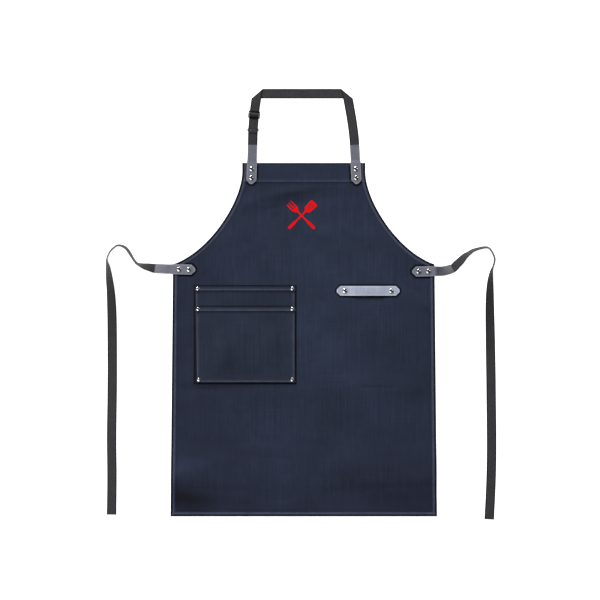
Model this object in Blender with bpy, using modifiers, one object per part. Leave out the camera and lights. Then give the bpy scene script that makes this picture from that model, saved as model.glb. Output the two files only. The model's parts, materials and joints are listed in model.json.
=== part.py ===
# Barbecue apron laid flat: canvas body with bib, two stacked patch pockets, leather towel loop,
# leather tongues with domed rivets, webbing neck strap with slider and ring, webbing waist ties.
# Metres, +Z up. X runs across the apron, +Y from the hem to the neck. The origin lies in the middle
# of the band along the bib's top, on its back face, which is the plane that the apron rests on.

import bpy
import bmesh
from math import atan2, cos, degrees, hypot, pi, radians, sin, tan
from mathutils import Matrix, Vector

# Cloth body
BODY_HEIGHT = 0.850
BIB_WIDTH = 0.296
WAIST_WIDTH = 0.629
HEM_WIDTH = 0.641
BIB_SIDE = 0.020
ARMHOLE_DEPTH = 0.224
ARMHOLE_TOP_PULL = 0.070
ARMHOLE_END_PULL = 0.090
ARMHOLE_END_SLOPE = 0.35
BAND_HEIGHT = 0.045
HEM_FOLD = 0.010
CLOTH_WALL = 0.0013
HEM_WALL = 0.0024
FOLD_STEP = 0.0006
GAP = 0.0003
ARMHOLE_ROWS = 13
BODY_ROWS = 16
HALF_COLUMNS = 11

# Soft folds of the body
FOLD_HEIGHT = 0.005
FOLD_REACH = 0.066
FLAT_MARGIN = 0.006
FLAT_FADE = 0.050
BAND_FADE = 0.030

# Pockets, placed from the end of the armhole and from the body's side
POCKET_BELOW_ARMHOLE = 0.053
POCKET_INSET = 0.0525
POCKET_HEIGHT = 0.232
POCKET_WIDTH = 0.242
POCKET_TAPER = 0.003
POCKET_STEP = 0.047
POCKET_WALL = 0.0012
POCKET_HEM_WALL = 0.0020
POCKET_HEM = 0.010
POCKET_SEAM = 0.0125
POCKET_BELLY = 0.0050
POCKET_RAMP = 0.060

# Towel loop, placed as the pockets are
LOOP_BELOW_ARMHOLE = 0.0637
LOOP_INSET = 0.0837
LOOP_LENGTH = 0.152
LOOP_WIDTH = 0.025
LOOP_WALL = 0.002
LOOP_RISE = 0.0052
LOOP_RAMP = 0.024
LOOP_RIVET_PITCH = 0.1116

# Webbing and leather tongues
WEBBING_WIDTH = 0.023
WEBBING_WALL = 0.0013
LEATHER_WALL = 0.002
TIP_CHAMFER = 0.0095
TIP_FLAT = 0.0065
TONGUE_FLARE = 0.0015
TONGUE_LIFT = 0.008
NECK_TONGUE_ON = 0.051
NECK_TONGUE_OFF = 0.0435
NECK_TONGUE_INSET = 0.0235
NECK_TONGUE_TILT_LEFT = 2.0
NECK_TONGUE_TILT_RIGHT = 3.1
NECK_RIVET_TIP = 0.0151
NECK_RIVET_PITCH = 0.0211
WAIST_TONGUE_ON = 0.054
WAIST_TONGUE_OFF = 0.0435
WAIST_TONGUE_BELOW_LEFT = 0.0116
WAIST_TONGUE_BELOW_RIGHT = 0.0165
WAIST_TONGUE_TILT_LEFT = 1.5
WAIST_TONGUE_TILT_RIGHT = 1.0
WAIST_RIVET_TIP = 0.0157
WAIST_RIVET_PITCH = 0.0235

# Neck strap, with its slider and ring
NECK_RISE = 0.178
NECK_LEAN_LEFT = 0.009
NECK_LEAN_RIGHT = 0.016
NECK_CURVE_LEFT = 2.0
NECK_CURVE_RIGHT = 1.4
CORNER_CLEARANCE = 0.004
CORNER_RAMP = 0.010
RING_ABOVE_TONGUE = 0.0358
SLIDER_SHARE = 0.52
SLIDER_WALL = 0.002
SLIDER_BAR = 0.0026
SLIDER_MIDDLE_BAR = 0.002
SLIDER_RAIL = 0.0022
SLIDER_ROUND = 0.0005
SLIDER_SLOPE = 60
SIDE_CLEARANCE = 0.0004
RING_WIRE = 0.001
RING_CLEARANCE = 0.0008

# Waist ties
TIE_SPREAD_LEFT = 0.1032
TIE_RISE_LEFT = 0.0558
TIE_DROP_LEFT = 0.590
TIE_SPREAD_RIGHT = 0.0919
TIE_RISE_RIGHT = 0.0529
TIE_DROP_RIGHT = 0.596
TIE_HEM = 0.013
TIE_STEP = 0.075

# Rivets: radius and height of the caps, with the rim and the foot as shares of them
RIVET_CAP = 0.0060
RIVET_DOME = 0.0022
RIVET_RIM = 0.25
RIVET_FOOT = 0.95
POCKET_RIVET_CAP = 0.0046
POCKET_RIVET_DOME = 0.0018
POCKET_RIVET_IN = 0.0072
POCKET_RIVET_DOWN = 0.0055
POCKET_RIVET_UP = 0.0075
RIVET_BACK = 0.0045
RIVET_BACK_WALL = 0.0007
RIVET_SHANK = 0.0015
RIVET_SIDES = 10

# Worked out from the sizes above: a leaf is one layer of webbing with the gap above it, and a drop
# is measured down from the bib's top edge, or on the neck strap from the cross run's lower edge
TOP = BAND_HEIGHT / 2
WAIST_DROP = BIB_SIDE + ARMHOLE_DEPTH
POCKET_DROP = WAIST_DROP + POCKET_BELOW_ARMHOLE
POCKET_MIDDLE = (POCKET_WIDTH - WAIST_WIDTH) / 2 + POCKET_INSET
LOOP_DROP = WAIST_DROP + LOOP_BELOW_ARMHOLE
LOOP_MIDDLE = (WAIST_WIDTH - LOOP_LENGTH) / 2 - LOOP_INSET
TONGUE_WIDTH = WEBBING_WIDTH + TONGUE_FLARE
PANEL_TOP = HEM_WALL
LEAF = WEBBING_WALL + GAP
FLAT_Z = WEBBING_WALL / 2
OVER_Z = FLAT_Z + LEAF
NECK_RUN = NECK_RISE - WEBBING_WIDTH - NECK_TONGUE_OFF
RING_TURN = RING_WIRE + GAP + WEBBING_WALL / 2
RING_Z = FLAT_Z + RING_TURN
RING_PITCH = 2 * RING_TURN + WEBBING_WALL + RING_CLEARANCE
RING_DROP = NECK_RUN - RING_ABOVE_TONGUE
SLIDER_DROP = RING_DROP * SLIDER_SHARE
BAR_TURN = SLIDER_WALL / 2 + 2 * GAP + WEBBING_WALL / 2
OVER_TURN = BAR_TURN + LEAF
SLIDER_Z = OVER_Z + BAR_TURN

# A fold runs between two places, given as shares of half the waist's width and of the body's height
# below the bib's top, with shares of the fold height and of the fold's reach to either side
FOLD_COLUMNS = ("across_a", "down_a", "across_b", "down_b", "height", "reach")
FOLDS = (
    (-0.50, 0.127, 0.33, 0.062, 0.9, 0.70),
    (-0.97, 0.875, 0.97, 0.862, 1.0, 1.15),
    (0.80, 0.365, 0.93, 0.410, 0.4, 0.50),
    (-0.86, 0.335, -0.99, 0.400, 0.4, 0.50),
    (0.28, 0.632, 0.80, 0.636, 0.4, 0.60),
    (-0.92, 0.665, -0.42, 0.672, 0.5, 0.60),
    (0.36, 0.170, 0.50, 0.215, 0.4, 0.50),
)

# A tie leaves its tongue at the origin of its table. Out is a share of the tie's spread away from the
# body, up a share of its rise, down a share of its drop, and lean the webbing's turn from flat, in
# degrees, with the outer edge kept on the ground
TIE_COLUMNS = ("out", "up", "down", "lean")
TIE_LEFT = (
    (0.00, 0.00, 0.000, 20),
    (0.12, 0.04, 0.000, 38),
    (0.23, 0.07, 0.000, 52),
    (0.33, 0.13, 0.000, 70),
    (0.42, 0.24, 0.000, 83),
    (0.50, 0.44, 0.000, 84),
    (0.57, 0.65, 0.000, 80),
    (0.64, 0.84, 0.000, 80),
    (0.72, 0.95, 0.000, 83),
    (0.80, 1.00, 0.000, 87),
    (0.88, 0.99, 0.000, 89),
    (0.96, 0.89, 0.000, 89),
    (1.04, 0.73, 0.000, 89),
    (1.10, 0.50, 0.000, 88),
    (1.11, 0.30, 0.000, 80),
    (1.08, 0.00, 0.000, 64),
    (1.05, 0.00, 0.048, 45),
    (1.02, 0.00, 0.100, 26),
    (1.00, 0.00, 0.180, 9),
    (0.992, 0.00, 0.300, 0),
    (0.992, 0.00, 0.480, 0),
    (1.006, 0.00, 0.680, 0),
    (0.999, 0.00, 0.850, 0),
    (1.008, 0.00, 1.000, 0),
)
TIE_RIGHT = (
    (0.00, 0.00, 0.000, 35),
    (0.102, 0.24, 0.000, 35),
    (0.20, 0.41, 0.000, 39),
    (0.31, 0.65, 0.000, 54),
    (0.41, 0.79, 0.000, 65),
    (0.52, 0.875, 0.000, 72),
    (0.65, 0.94, 0.000, 79),
    (0.80, 0.99, 0.000, 87),
    (0.91, 0.99, 0.000, 89),
    (0.99, 0.90, 0.000, 89),
    (1.055, 0.74, 0.000, 89),
    (1.095, 0.56, 0.000, 89),
    (1.085, 0.37, 0.000, 88),
    (1.05, 0.17, 0.000, 85),
    (1.02, 0.00, 0.000, 77),
    (0.99, 0.00, 0.030, 62),
    (0.972, 0.00, 0.070, 45),
    (0.966, 0.00, 0.135, 30),
    (0.976, 0.00, 0.235, 16),
    (0.995, 0.00, 0.370, 2),
    (1.010, 0.00, 0.560, 0),
    (1.018, 0.00, 0.720, 0),
    (1.000, 0.00, 0.860, 0),
    (0.955, 0.00, 1.000, 0),
)

CLOTH_COLOUR = (0.022, 0.030, 0.056, 1)
TONGUE_COLOUR = (0.165, 0.170, 0.215, 1)
LOOP_COLOUR = (0.380, 0.415, 0.520, 1)
WEBBING_COLOUR = (0.045, 0.045, 0.050, 1)
PLASTIC_COLOUR = (0.010, 0.010, 0.012, 1)
STEEL_COLOUR = (0.780, 0.780, 0.800, 1)


def smooth(share):
    share = min(1.0, max(0.0, share))
    return share * share * (3 - 2 * share)


def new_material(name, colour, roughness, metallic=0.0):
    material = bpy.data.materials.new(name)
    material.use_nodes = True
    shader = material.node_tree.nodes["Principled BSDF"]
    shader.inputs["Base Color"].default_value = colour
    shader.inputs["Roughness"].default_value = roughness
    shader.inputs["Metallic"].default_value = metallic
    return material


def add_object(name, mesh, collection, material=None):
    piece = bpy.data.objects.new(name, mesh)
    collection.objects.link(piece)
    if material:
        mesh.materials.append(material)
    return piece


# Outline of the body: half its width at a depth below the bib's top


def armhole_point(share):
    top = Vector((BIB_WIDTH / 2, BIB_SIDE))
    end = Vector((WAIST_WIDTH / 2, WAIST_DROP))
    top_pull = top + Vector((0, ARMHOLE_TOP_PULL))
    end_pull = end - Vector((ARMHOLE_END_PULL, ARMHOLE_END_PULL * ARMHOLE_END_SLOPE))
    rest = 1 - share
    return (
        top * rest**3
        + top_pull * 3 * share * rest**2
        + end_pull * 3 * share**2 * rest
        + end * share**3
    )


def read_line(points, depth):
    for (x_a, depth_a), (x_b, depth_b) in zip(points, points[1:]):
        if depth_a <= depth <= depth_b:
            return x_a + (x_b - x_a) * (depth - depth_a) / (depth_b - depth_a)
    return None


def armhole_lines(samples=60):
    outline = [armhole_point(i / samples) for i in range(samples + 1)]
    inner = []
    for a, b in zip(outline, outline[1:]):
        along = (b - a).normalized()
        inner.append((a + b) / 2 + Vector((-along.y, along.x)) * HEM_FOLD)
    return outline, inner


def side_half_width(depth):
    share = (depth - WAIST_DROP) / (BODY_HEIGHT - WAIST_DROP)
    return (WAIST_WIDTH + (HEM_WIDTH - WAIST_WIDTH) * share) / 2


def half_widths(depth, outline, inner):
    # The outer edge and the inner edge of the hem, measured from the apron's middle
    if depth <= BIB_SIDE:
        outer = BIB_WIDTH / 2
        hem = outer - HEM_FOLD
    elif depth < WAIST_DROP:
        outer = read_line(outline, depth)
        hem = read_line(inner, depth) or outer - HEM_FOLD
    else:
        outer = side_half_width(depth)
        hem = outer - HEM_FOLD
        crossing = read_line(inner, depth)
        if crossing:
            hem = min(hem, crossing)
    return outer, hem


def panel_depths():
    depths = [0.0, BAND_HEIGHT, BAND_HEIGHT + FOLD_STEP]
    armhole = [armhole_point(i / ARMHOLE_ROWS).y for i in range(ARMHOLE_ROWS + 1)]
    depths += [d for d in armhole if abs(d - BAND_HEIGHT) > BAND_HEIGHT / 8]
    end = BODY_HEIGHT - HEM_FOLD - FOLD_STEP
    depths += [WAIST_DROP + (end - WAIST_DROP) * i / BODY_ROWS for i in range(1, BODY_ROWS + 1)]
    depths += [BODY_HEIGHT - HEM_FOLD, BODY_HEIGHT]
    return sorted(depths)


# Soft folds, faded out in the band, in the hem and where something is sewn or riveted to the cloth


def flat_places():
    half_pocket = POCKET_WIDTH / 2
    places = [
        (POCKET_MIDDLE - half_pocket, POCKET_MIDDLE + half_pocket, POCKET_DROP, POCKET_DROP + POCKET_HEIGHT),
        (
            LOOP_MIDDLE - LOOP_LENGTH / 2,
            LOOP_MIDDLE + LOOP_LENGTH / 2,
            LOOP_DROP - LOOP_WIDTH / 2,
            LOOP_DROP + LOOP_WIDTH / 2,
        ),
    ]
    waist = WAIST_WIDTH / 2
    for side, below in ((-1, WAIST_TONGUE_BELOW_LEFT), (1, WAIST_TONGUE_BELOW_RIGHT)):
        drop = WAIST_DROP + below
        neck = side * (BIB_WIDTH / 2 - NECK_TONGUE_INSET)
        places.append((neck - TONGUE_WIDTH, neck + TONGUE_WIDTH, 0.0, NECK_TONGUE_ON))
        low, high = sorted((side * (waist - WAIST_TONGUE_ON), side * waist))
        places.append((low, high, drop - TONGUE_WIDTH, drop + TONGUE_WIDTH))
    return places


def flatness(x, depth, places):
    share = smooth((depth - BAND_HEIGHT) / BAND_FADE)
    share *= smooth((BODY_HEIGHT - HEM_FOLD - depth) / BAND_FADE)
    for low, high, top, foot in places:
        away = hypot(max(low - x, 0, x - high), max(top - depth, 0, depth - foot))
        share *= smooth((away - FLAT_MARGIN) / FLAT_FADE)
    return share


def fold_rise(x, depth, places):
    rise = 0.0
    for row in FOLDS:
        fold = dict(zip(FOLD_COLUMNS, row))
        a = Vector((fold["across_a"] * WAIST_WIDTH / 2, fold["down_a"] * BODY_HEIGHT))
        b = Vector((fold["across_b"] * WAIST_WIDTH / 2, fold["down_b"] * BODY_HEIGHT))
        here = Vector((x, depth))
        along = min(1.0, max(0.0, (here - a).dot(b - a) / (b - a).length_squared))
        away = (here - (a + (b - a) * along)).length
        rise += FOLD_HEIGHT * fold["height"] * (1 - smooth(away / (FOLD_REACH * fold["reach"])))
    return rise * flatness(x, depth, places)


def sheet_from_rows(name, rows, wall, material, collection, upward):
    # Each row holds (x, y, z, share of the wall); rows run from the foot up, all of one length
    columns = len(rows[0])
    shape = bmesh.new()
    bmesh.ops.create_grid(shape, x_segments=columns - 1, y_segments=len(rows) - 1, size=1)
    group = shape.verts.layers.deform.verify()
    for vertex in shape.verts:
        column = round((vertex.co.x + 1) / 2 * (columns - 1))
        row = round((vertex.co.y + 1) / 2 * (len(rows) - 1))
        x, y, z, share = rows[row][column]
        vertex.co = (x, y, z)
        vertex[group][0] = share
    mesh = bpy.data.meshes.new(name)
    shape.to_mesh(mesh)
    shape.free()
    piece = add_object(name, mesh, collection, material)
    piece.vertex_groups.new(name="wall")
    solid = piece.modifiers.new("cloth", "SOLIDIFY")
    solid.thickness = wall
    solid.offset = 1 if upward else -1
    solid.vertex_group = "wall"
    return piece


def build_panel(collection, material):
    outline, inner = armhole_lines()
    places = flat_places()
    rows = []
    for depth in reversed(panel_depths()):
        outer, hem = half_widths(depth, outline, inner)
        turned = depth <= BAND_HEIGHT or depth >= BODY_HEIGHT - HEM_FOLD
        field = [(hem - FOLD_STEP) * i / HALF_COLUMNS for i in range(HALF_COLUMNS + 1)]
        right = [(x, turned) for x in field] + [(hem, True), (outer, True)]
        left = [(-x, double) for x, double in reversed(right[1:])]
        rows.append(
            [
                (
                    x,
                    TOP - depth,
                    PANEL_TOP + fold_rise(x, depth, places),
                    1.0 if double else CLOTH_WALL / HEM_WALL,
                )
                for x, double in left + right
            ]
        )
    return sheet_from_rows("apron_panel", rows, HEM_WALL, material, collection, upward=False)


# Patch pockets: sewn flat along the sides and the foot, bellied towards the open mouth


def pocket_sides(depth):
    share = (depth - POCKET_DROP) / POCKET_HEIGHT
    left = POCKET_MIDDLE - POCKET_WIDTH / 2 + POCKET_TAPER * share
    return left, POCKET_MIDDLE + POCKET_WIDTH / 2


def belly(x, depth):
    left, right = pocket_sides(depth)
    foot = POCKET_DROP + POCKET_HEIGHT
    share = smooth((x - left - POCKET_SEAM) / POCKET_RAMP)
    share *= smooth((right - POCKET_SEAM - x) / POCKET_RAMP)
    return POCKET_BELLY * share * smooth((foot - POCKET_SEAM - depth) / POCKET_RAMP)


def pocket_positions(low, high, ramp_low, ramp_high, steps=4, plateau=3):
    # Places across a pocket: the seam's edge, close steps on the ramps, wide ones between them
    inner_low = low + (POCKET_SEAM if ramp_low else POCKET_HEM)
    inner_high = high - (POCKET_SEAM if ramp_high else POCKET_HEM)
    places = [low, inner_low]
    start, end = inner_low, inner_high
    if ramp_low:
        places += [inner_low + POCKET_RAMP * i / steps for i in range(1, steps + 1)]
        start = inner_low + POCKET_RAMP
    if ramp_high:
        end = inner_high - POCKET_RAMP
    places += [start + (end - start) * i / plateau for i in range(1, plateau)]
    if ramp_high:
        places += [end + POCKET_RAMP * i / steps for i in range(steps)]
    places += [inner_high, high]
    return places


def build_pocket(name, drop, layer, collection, material):
    # Layer 0 lies on the body, layer 1 on layer 0
    foot = POCKET_DROP + POCKET_HEIGHT
    rows = []
    for depth in reversed(pocket_positions(drop, foot, False, True)):
        left, right = pocket_sides(depth)
        hem = depth <= drop + POCKET_HEM
        rows.append(
            [
                (
                    x,
                    TOP - depth,
                    PANEL_TOP + GAP + belly(x, depth) * (layer + 1) + (POCKET_WALL + GAP) * layer,
                    1.0 if hem else POCKET_WALL / POCKET_HEM_WALL,
                )
                for x in pocket_positions(left, right, True, True)
            ]
        )
    return sheet_from_rows(name, rows, POCKET_HEM_WALL, material, collection, upward=True)


# Straps: a strap is a row of rungs, each a pair of points on its two edges


def strap_object(name, rungs, wall, collection, material):
    shape = bmesh.new()
    pairs = [(shape.verts.new(a), shape.verts.new(b)) for a, b in rungs]
    for (a, b), (next_a, next_b) in zip(pairs, pairs[1:]):
        shape.faces.new((a, b, next_b, next_a))
    mesh = bpy.data.meshes.new(name)
    shape.to_mesh(mesh)
    shape.free()
    piece = add_object(name, mesh, collection, material)
    solid = piece.modifiers.new("strap", "SOLIDIFY")
    solid.thickness = wall
    solid.offset = 0
    solid.use_even_offset = True
    return piece


def rung(centre, heading, width, lean=0.0):
    # A positive lean lifts the edge to the left of the heading, a negative one the edge to its right
    across = Vector((-sin(heading), cos(heading), 0)) * cos(lean)
    across.z = sin(lean)
    return centre - across * width / 2, centre + across * width / 2


def smooth_path(rows, steps=5):
    # A curve through rows of numbers, each column by the same cubic rule
    path = []
    ends = [rows[0]] + list(rows) + [rows[-1]]
    for before, a, b, after in zip(ends, ends[1:], ends[2:], ends[3:]):
        for i in range(steps):
            t = i / steps
            row = []
            for p, q, r, s in zip(before, a, b, after):
                bend = (2 * p - 5 * q + 4 * r - s) * t**2
                twist = (3 * q - p - 3 * r + s) * t**3
                row.append((2 * q + (r - p) * t + bend + twist) / 2)
            path.append(tuple(row))
    path.append(tuple(rows[-1]))
    return path


def heading_at(path, index):
    before = path[max(0, index - 1)]
    after = path[min(len(path) - 1, index + 1)]
    return atan2(after[1] - before[1], after[0] - before[0])


def keep_bends(path, turn=6.0):
    # Leaves out the samples of straight, even stretches; a row is (x, y, lean in degrees)
    kept = [0]
    for index in range(1, len(path) - 1):
        last = path[kept[-1]]
        here = path[index]
        turned = abs(degrees(heading_at(path, index) - heading_at(path, kept[-1])))
        turned = min(turned, 360 - turned)
        apart = hypot(here[0] - last[0], here[1] - last[1])
        if max(turned, abs(here[2] - last[2])) > turn or apart > TIE_STEP:
            kept.append(index)
    return kept + [len(path) - 1]


# Leather tongues


def tongue_stations(on_body, off_body):
    # Distances from the clipped tip, with the tongue's width there
    stations = [(0.0, TIP_FLAT), (TIP_CHAMFER, TONGUE_WIDTH), (on_body, TONGUE_WIDTH)]
    for step in range(1, 5):
        stations.append((on_body + TONGUE_LIFT * step / 4, TONGUE_WIDTH - TONGUE_FLARE * step / 4))
    for step in range(1, 5):
        stations.append((on_body + TONGUE_LIFT + (off_body - TONGUE_LIFT) * step / 4, WEBBING_WIDTH))
    return stations


def on_body_share(distance, on_body):
    return 1 - smooth((distance - on_body) / TONGUE_LIFT)


def build_tongue(name, place, on_body, off_body, leaves, collection, material):
    # place(distance from the tip) gives the centre in plan, the heading and the lean of the webbing
    rungs = []
    for distance, width in tongue_stations(on_body, off_body):
        x, y, heading, lean = place(distance)
        resting = on_body_share(distance, on_body)
        over = leaves * LEAF
        base = resting * (PANEL_TOP + GAP) + (1 - resting) * over * cos(lean)
        half = width / 2 * abs(sin(lean)) + LEATHER_WALL / 2 * cos(lean)
        shift = (1 - resting) * (LEATHER_WALL / 2 + over - WEBBING_WALL / 2) * sin(lean)
        centre = Vector((x + sin(heading) * shift, y - cos(heading) * shift, base + half))
        rungs.append(rung(centre, heading, width, lean))
    return strap_object(name, rungs, LEATHER_WALL, collection, material)


def waist_root(side):
    # Where the tongue's middle line crosses the body's side, and its direction away from the body
    drop = WAIST_DROP + (WAIST_TONGUE_BELOW_LEFT if side < 0 else WAIST_TONGUE_BELOW_RIGHT)
    tilt = radians(WAIST_TONGUE_TILT_LEFT if side < 0 else WAIST_TONGUE_TILT_RIGHT)
    return Vector((side * side_half_width(drop), TOP - drop)), Vector((side * cos(tilt), sin(tilt)))


def tie_path(side):
    # Rows of x, y and lean, from the tongue's tip to the tie's end
    root, away = waist_root(side)
    table = TIE_LEFT if side < 0 else TIE_RIGHT
    spread = TIE_SPREAD_LEFT if side < 0 else TIE_SPREAD_RIGHT
    rise = TIE_RISE_LEFT if side < 0 else TIE_RISE_RIGHT
    drop = TIE_DROP_LEFT if side < 0 else TIE_DROP_RIGHT
    leave = root + away * WAIST_TONGUE_OFF
    first = dict(zip(TIE_COLUMNS, table[0]))
    rows = []
    for share in (-WAIST_TONGUE_ON, -WAIST_TONGUE_ON / 2, 0.0):
        spot = root + away * share
        rows.append((spot.x, spot.y, 0.0))
    middle = root + away * WAIST_TONGUE_OFF / 2
    rows.append((middle.x, middle.y, first["lean"] / 2))
    for line in table:
        row = dict(zip(TIE_COLUMNS, line))
        x = leave.x + side * row["out"] * spread
        y = leave.y + row["up"] * rise - row["down"] * drop
        rows.append((x, y, row["lean"]))
    return smooth_path(rows)


def path_lengths(path):
    lengths = [0.0]
    for a, b in zip(path, path[1:]):
        lengths.append(lengths[-1] + hypot(b[0] - a[0], b[1] - a[1]))
    return lengths


def waist_place(side):
    path = tie_path(side)
    lengths = path_lengths(path)

    def place(distance):
        index = max(i for i in range(len(path) - 1) if lengths[i] <= distance or i == 0)
        share = (distance - lengths[index]) / (lengths[index + 1] - lengths[index])
        x, y, lean = (a + (b - a) * share for a, b in zip(path[index], path[index + 1]))
        turn = heading_at(path, index + 1) - heading_at(path, index)
        heading = heading_at(path, index) + atan2(sin(turn), cos(turn)) * share
        return x, y, heading, -side * radians(lean)

    return place


def build_tie(name, side, collection, material):
    path = tie_path(side)
    lengths = path_lengths(path)
    place = waist_place(side)
    end_of_tongue = WAIST_TONGUE_ON + WAIST_TONGUE_OFF
    start = WAIST_TONGUE_ON + TONGUE_LIFT
    under = [d for d, _ in tongue_stations(WAIST_TONGUE_ON, WAIST_TONGUE_OFF) if d >= start]
    kept = [lengths[i] for i in keep_bends(path) if lengths[i] > end_of_tongue + WEBBING_WALL]
    rungs = []
    for distance in under + kept:
        x, y, heading, lean = place(min(distance, lengths[-1]))
        height = WEBBING_WIDTH / 2 * abs(sin(lean)) + WEBBING_WALL / 2 * cos(lean)
        rungs.append(rung(Vector((x, y, height)), heading, WEBBING_WIDTH, lean))
    x, y, heading, lean = place(lengths[-1])
    end = Vector((x, y, FLAT_Z))
    ahead = Vector((cos(heading), sin(heading), 0))
    for step in range(1, 5):
        angle = pi * step / 4
        centre = end + ahead * sin(angle) * LEAF / 2
        centre.z = FLAT_Z + LEAF / 2 * (1 - cos(angle))
        rungs.append(rung(centre, heading, WEBBING_WIDTH))
    back = end - ahead * TIE_HEM
    back.z = OVER_Z
    rungs.append(rung(back, heading, WEBBING_WIDTH))
    return strap_object(name, rungs, WEBBING_WALL, collection, material)


def neck_place(side):
    tilt = radians(NECK_TONGUE_TILT_LEFT if side < 0 else NECK_TONGUE_TILT_RIGHT)

    def place(distance):
        reach = distance - NECK_TONGUE_ON
        x = BIB_WIDTH / 2 - NECK_TONGUE_INSET - reach * tan(tilt)
        return side * x, TOP + reach, pi / 2 + side * tilt, 0.0

    return place


# Neck strap


def strap_side(side):
    # The side run of the neck strap: centre and heading at a drop below the cross run's lower edge
    tilt = radians(NECK_TONGUE_TILT_LEFT if side < 0 else NECK_TONGUE_TILT_RIGHT)
    foot_x = BIB_WIDTH / 2 - NECK_TONGUE_INSET - NECK_TONGUE_OFF * tan(tilt)
    lean = NECK_LEAN_LEFT if side < 0 else NECK_LEAN_RIGHT
    curve = NECK_CURVE_LEFT if side < 0 else NECK_CURVE_RIGHT
    top_y = TOP + NECK_RISE - WEBBING_WIDTH

    def place(drop):
        share = 1 - drop / NECK_RUN
        if share <= 0:
            x = foot_x + (drop - NECK_RUN) * tan(tilt)
            return Vector((side * x, top_y - drop, 0)), -pi / 2 + side * tilt
        slope = lean * curve * share ** (curve - 1) / NECK_RUN
        return Vector((side * (foot_x - lean * share**curve), top_y - drop, 0)), -pi / 2 + side * atan2(slope, 1)

    return place


def strap_corner(side, steps=6):
    # Half the cross run and the diagonal fold that turns it down, from the middle outwards. The
    # webbing turns over at the crease and comes back on top of itself, sliding along the crease
    centre, heading = strap_side(side)(0)
    rise_angle = pi / 2 - abs(heading + pi / 2)
    crease = rise_angle / 2
    low = Vector((centre.x + side * WEBBING_WIDTH / 2 / sin(rise_angle), centre.y, 0))
    inward = Vector((-side * cos(crease), sin(crease), 0))
    high = low + inward * WEBBING_WIDTH / sin(crease)
    outward = Vector((side * sin(crease), cos(crease), 0))
    radius = LEAF / 2
    set_back = radius + WEBBING_WALL / 2
    upper_edge = TOP + NECK_RISE
    lower_edge = upper_edge - WEBBING_WIDTH
    rungs = []
    for x in (0.0, high.x - side * WEBBING_WIDTH / 4):
        rungs.append((Vector((x, upper_edge, FLAT_Z)), Vector((x, lower_edge, FLAT_Z))))
    for step in range(steps + 1):
        angle = pi * step / steps
        slide = inward * set_back / tan(crease) * (1 - 2 * step / steps)
        move = outward * (radius * sin(angle) - set_back) + slide
        move.z = FLAT_Z + radius * (1 - cos(angle))
        rungs.append((high + move, low + move))
    return rungs


def side_rung(side, drop, height):
    centre, heading = strap_side(side)(drop)
    centre.z = height
    a, b = rung(centre, heading, WEBBING_WIDTH)
    return (b, a) if side < 0 else (a, b)


def arc(drop, z, radius, start, end, steps=6):
    # Points of drop and height round a bar; 0 degrees is above it, 90 degrees further down the strap
    angles = [radians(start + (end - start) * i / steps) for i in range(steps + 1)]
    return [(drop + radius * sin(angle), z + radius * cos(angle)) for angle in angles]


def slider_half():
    # From the slider's middle to the edge of an outer bar: the strap passes between them, sloping
    slope = radians(SLIDER_SLOPE)
    fall = SLIDER_Z + OVER_TURN * cos(slope) - (SLIDER_Z - SLIDER_WALL / 2)
    return OVER_TURN * sin(slope) + fall / tan(slope) + WEBBING_WALL / 2 / sin(slope) + GAP


def slider_weave():
    # Drop and height of the strap from the corner to the ring and back to the slider's middle bar
    lip = slider_half()
    half = lip + SLIDER_BAR
    north = RING_DROP - RING_PITCH / 2
    weave = [(SLIDER_DROP - half - GAP, OVER_Z), (SLIDER_DROP - lip - SLIDER_BAR / 4, OVER_Z)]
    weave.append((SLIDER_DROP - lip + GAP, OVER_Z + GAP))
    weave += arc(SLIDER_DROP, SLIDER_Z, OVER_TURN, -SLIDER_SLOPE, SLIDER_SLOPE)
    weave.append((SLIDER_DROP + lip - GAP, OVER_Z + GAP))
    weave += [(SLIDER_DROP + lip + SLIDER_BAR / 4, OVER_Z), (SLIDER_DROP + half + GAP, OVER_Z)]
    weave.append((north - 2 * RING_TURN, RING_Z + RING_TURN - GAP))
    weave += arc(north, RING_Z, RING_TURN, 0, 180)
    weave += [(SLIDER_DROP + half, FLAT_Z), (SLIDER_DROP + lip - SLIDER_BAR / 2, FLAT_Z + GAP / 2)]
    weave.append((SLIDER_DROP + BAR_TURN / 2, OVER_Z - GAP))
    weave += arc(SLIDER_DROP, SLIDER_Z, BAR_TURN, 180, 375, 8)
    return weave


def build_neck_strap(collection, material):
    right = strap_corner(1)
    tucked = NECK_RISE - WEBBING_WIDTH - TONGUE_LIFT
    right.append(side_rung(1, CORNER_CLEARANCE, OVER_Z))
    right.append(side_rung(1, CORNER_CLEARANCE + CORNER_RAMP, FLAT_Z))
    right += [side_rung(1, NECK_RUN * i / 3, FLAT_Z) for i in range(1, 4)]
    right.append(side_rung(1, tucked, FLAT_Z))
    left = strap_corner(-1)
    left.append(side_rung(-1, CORNER_CLEARANCE, OVER_Z))
    left += [side_rung(-1, drop, height) for drop, height in slider_weave()]
    return strap_object("neck_strap", list(reversed(right)) + left[1:], WEBBING_WALL, collection, material)


def build_ring_strap(collection, material):
    tucked = NECK_RISE - WEBBING_WIDTH - TONGUE_LIFT
    south = RING_DROP + RING_PITCH / 2
    course = [(tucked, FLAT_Z), (NECK_RUN, FLAT_Z), (south + RING_TURN, FLAT_Z)]
    course += arc(south, RING_Z, RING_TURN, 180, 360)
    course.append((south + 2 * RING_TURN, RING_Z + RING_TURN - GAP))
    course += [(NECK_RUN - TONGUE_LIFT / 4, OVER_Z), (tucked, OVER_Z)]
    rungs = [side_rung(-1, drop, height) for drop, height in course]
    return strap_object("ring_strap", rungs, WEBBING_WALL, collection, material)


def on_strap(piece, drop, height):
    centre, heading = strap_side(-1)(drop)
    piece.location = (centre.x, centre.y, height)
    piece.rotation_euler = (0, 0, heading + pi / 2)


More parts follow.
